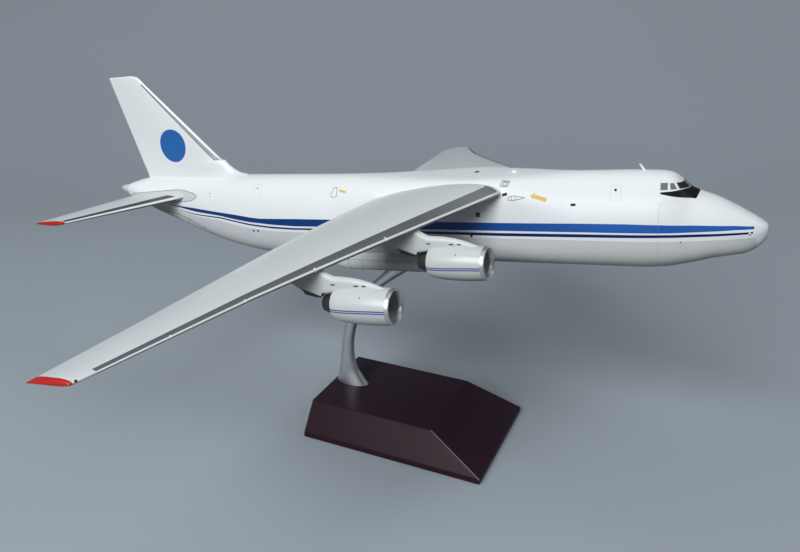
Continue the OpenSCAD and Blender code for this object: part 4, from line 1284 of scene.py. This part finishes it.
def buildArm():
    a = armSettings
    lean, rise, lift = math.cos(pitchTurn), math.sin(pitchTurn), a["gap"]
    foot = (craftPose["socketX"] + lift * rise, craftPose["keelHeight"] - lift * lean)
    rows = a["rows"] + [(*foot, a["topHalf"], a["topThick"])]
    run = [0.0]
    for p, q in zip(rows, rows[1:]):
        run.append(run[-1] + math.hypot(q[0] - p[0], q[1] - p[1]))
    rows = [(t, *row) for t, row in zip(run, rows)]
    whole = run[-1]
    turns = turnsOf(a["points"])

    def at(t, k):
        return smoothAt(rows, k + 1, t)

    rings = []
    for k in range(a["sections"] + 1):
        t = whole * k / a["sections"]
        ahead, behind = min(t + 0.5, whole), max(t - 0.5, 0)
        d = Vector((at(ahead, 0) - at(behind, 0), at(ahead, 1) - at(behind, 1))).normalized()
        low, high = max(0.0, 1 - t / a["ends"]), max(0.0, 1 - (whole - t) / a["ends"])
        cross = Vector((d[1], -d[0])) * (1 - low) * (1 - high)
        cross = (cross + Vector((1, 0)) * low + Vector((lean, rise)) * high).normalized()
        x, z, across, thick = (at(t, column) for column in range(4))
        rings.append([
            Vector((x + cross[0] * across * math.cos(v), thick * math.sin(v), z + cross[1] * across * math.cos(v))) / 1000
            for v in turns
        ])
    middle = sum(rings[-1], Vector()) / a["points"]
    prong, long = a["prong"], a["prongLong"] + lift
    for radius, height in ((prong, 0.0), (prong, long - a["prongRound"]), (prong - a["prongRound"], long)):
        ring = [(math.cos(v) * radius, math.sin(v) * radius) for v in turns]
        rings.append([
            middle + Vector((x * lean - height * rise, y, x * rise + height * lean)) / 1000 for x, y in ring
        ])
    return growLoft("standArm", rings)


armMetal = metalMaterial("satinSilver", (0.62, 0.63, 0.64, 1), 0.42, 160, (1, 1, 6))
settle(buildArm(), armMetal, "arm_metal", "stand", ["stand_arm"], 40)


def feltMaterial():
    material, shader, place = startMaterial("feltPad", 0.95)
    hair = noiseAt(place, 1400, 8, Distortion=1.5)
    feed(shader["Base Color"], layer(hair, (0.008, 0.008, 0.009, 1), (0.03, 0.03, 0.033, 1)))
    relief(shader, hair, 0.0003, 0.8)
    return material


# solids that keep their own shape get a better finish
steel = metalMaterial("screwSteel", (0.58, 0.58, 0.6, 1), 0.3, 500)
socketPlastic = moulded("socketPlastic", (0.045, 0.045, 0.05, 1), 0.5)
keptNodes = {
    "base_felt": feltMaterial(), "arm_screws": steel, "fuselage_dowels": steel, "wing_joiner": steel,
    "stand_socket": socketPlastic,
}
keptNodes.update({"engine_core_%d" % number: corePlastic for number in engineSettings["places"]})
for node, finish in keptNodes.items():
    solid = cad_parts[node]
    solid.data.materials.clear()
    solid.data.materials.append(finish)
print("stand done")

# floor, backdrop and light
stageSettings = {
    "floor": (0.379, 0.423, 0.467), "bounce": (0.045, 0.048, 0.05, 1), "cloudScale": 2.2,
    "air": (0.084, 0.094, 0.104, 1), "airSeen": (0.21, 0.235, 0.26, 1),
    "half": 2.2, "wall": 1.6, "back": 1.1, "curve": 0.7,
}


def buildStage():
    st = stageSettings
    back = st["back"]
    clearPick()
    bpy.ops.mesh.primitive_plane_add(size=2 * st["half"], location=(0, back - st["half"], 0))
    piece = beginEdit("studioFloor")
    selectEdges(piece, lambda p, q: min(p.y, q.y) > back - 0.01)
    extrudeBy(0, 0, st["wall"])
    selectEdges(piece, lambda p, q: min(p.y, q.y) > back - 0.01 and max(p.z, q.z) < 0.01)
    bpy.ops.mesh.bevel(offset=st["curve"], segments=24, affect="EDGES")
    endEdit(inside=True)
    piece.data.transform(Matrix.Rotation(math.radians(cameraSettings["turn"]), 4, "Z"))
    pickOnly(piece)
    bpy.ops.object.shade_smooth()
    return piece


def stageMaterial():
    st = stageSettings
    material, shader, place = startMaterial("studioPaper", 0.75)
    low, high = (tuple(share * v for v in st["floor"]) + (1,) for share in (0.94, 1.06))
    paper = layer(noiseAt(place, st["cloudScale"]), low, high)
    path = addNode(place.id_data, "ShaderNodeLightPath").outputs
    shown = larger(path["Is Camera Ray"], path["Is Glossy Ray"])
    feed(shader["Base Color"], layer(shown, st["bounce"], paper))
    return material


studioFloor = buildStage()
studioFloor.data.materials.append(stageMaterial())

world = bpy.data.worlds.new("studioAir")
bpy.context.scene.world = world
world.use_nodes = True
airPath = addNode(world.node_tree, "ShaderNodeLightPath").outputs["Is Camera Ray"]
airTint = layer(airPath, stageSettings["air"], stageSettings["airSeen"])
feed(world.node_tree.nodes["Background"].inputs["Color"], airTint)

# name, place, aim, size, power and colour
lightSettings = [
    ("frontSoftbox", (-0.22, -1.2, 0.94), (0, 0, 0.12), 0.8, 19.6, (0.95, 0.985, 1.0)),
    ("overheadSoftbox", (0, 0, 1.35), (0, 0, 0.1), 1.0, 3.0, (0.96, 0.99, 1.0)),
    ("backdropSoftbox", (1.0, 0.3, 1.0), (0.9, 1.0, 0), 0.6, 4.0, (0.96, 0.99, 1.0)),
]
for name, place, aim, size, power, color in lightSettings:
    bpy.ops.object.light_add(type="AREA", location=place)
    light = bpy.context.active_object
    light.name = name
    light.data.size = size
    light.data.energy = power
    light.data.color = color
    light.rotation_euler = (Vector(aim) - Vector(place)).to_track_quat("-Z", "Y").to_euler()
print("stage and light done")
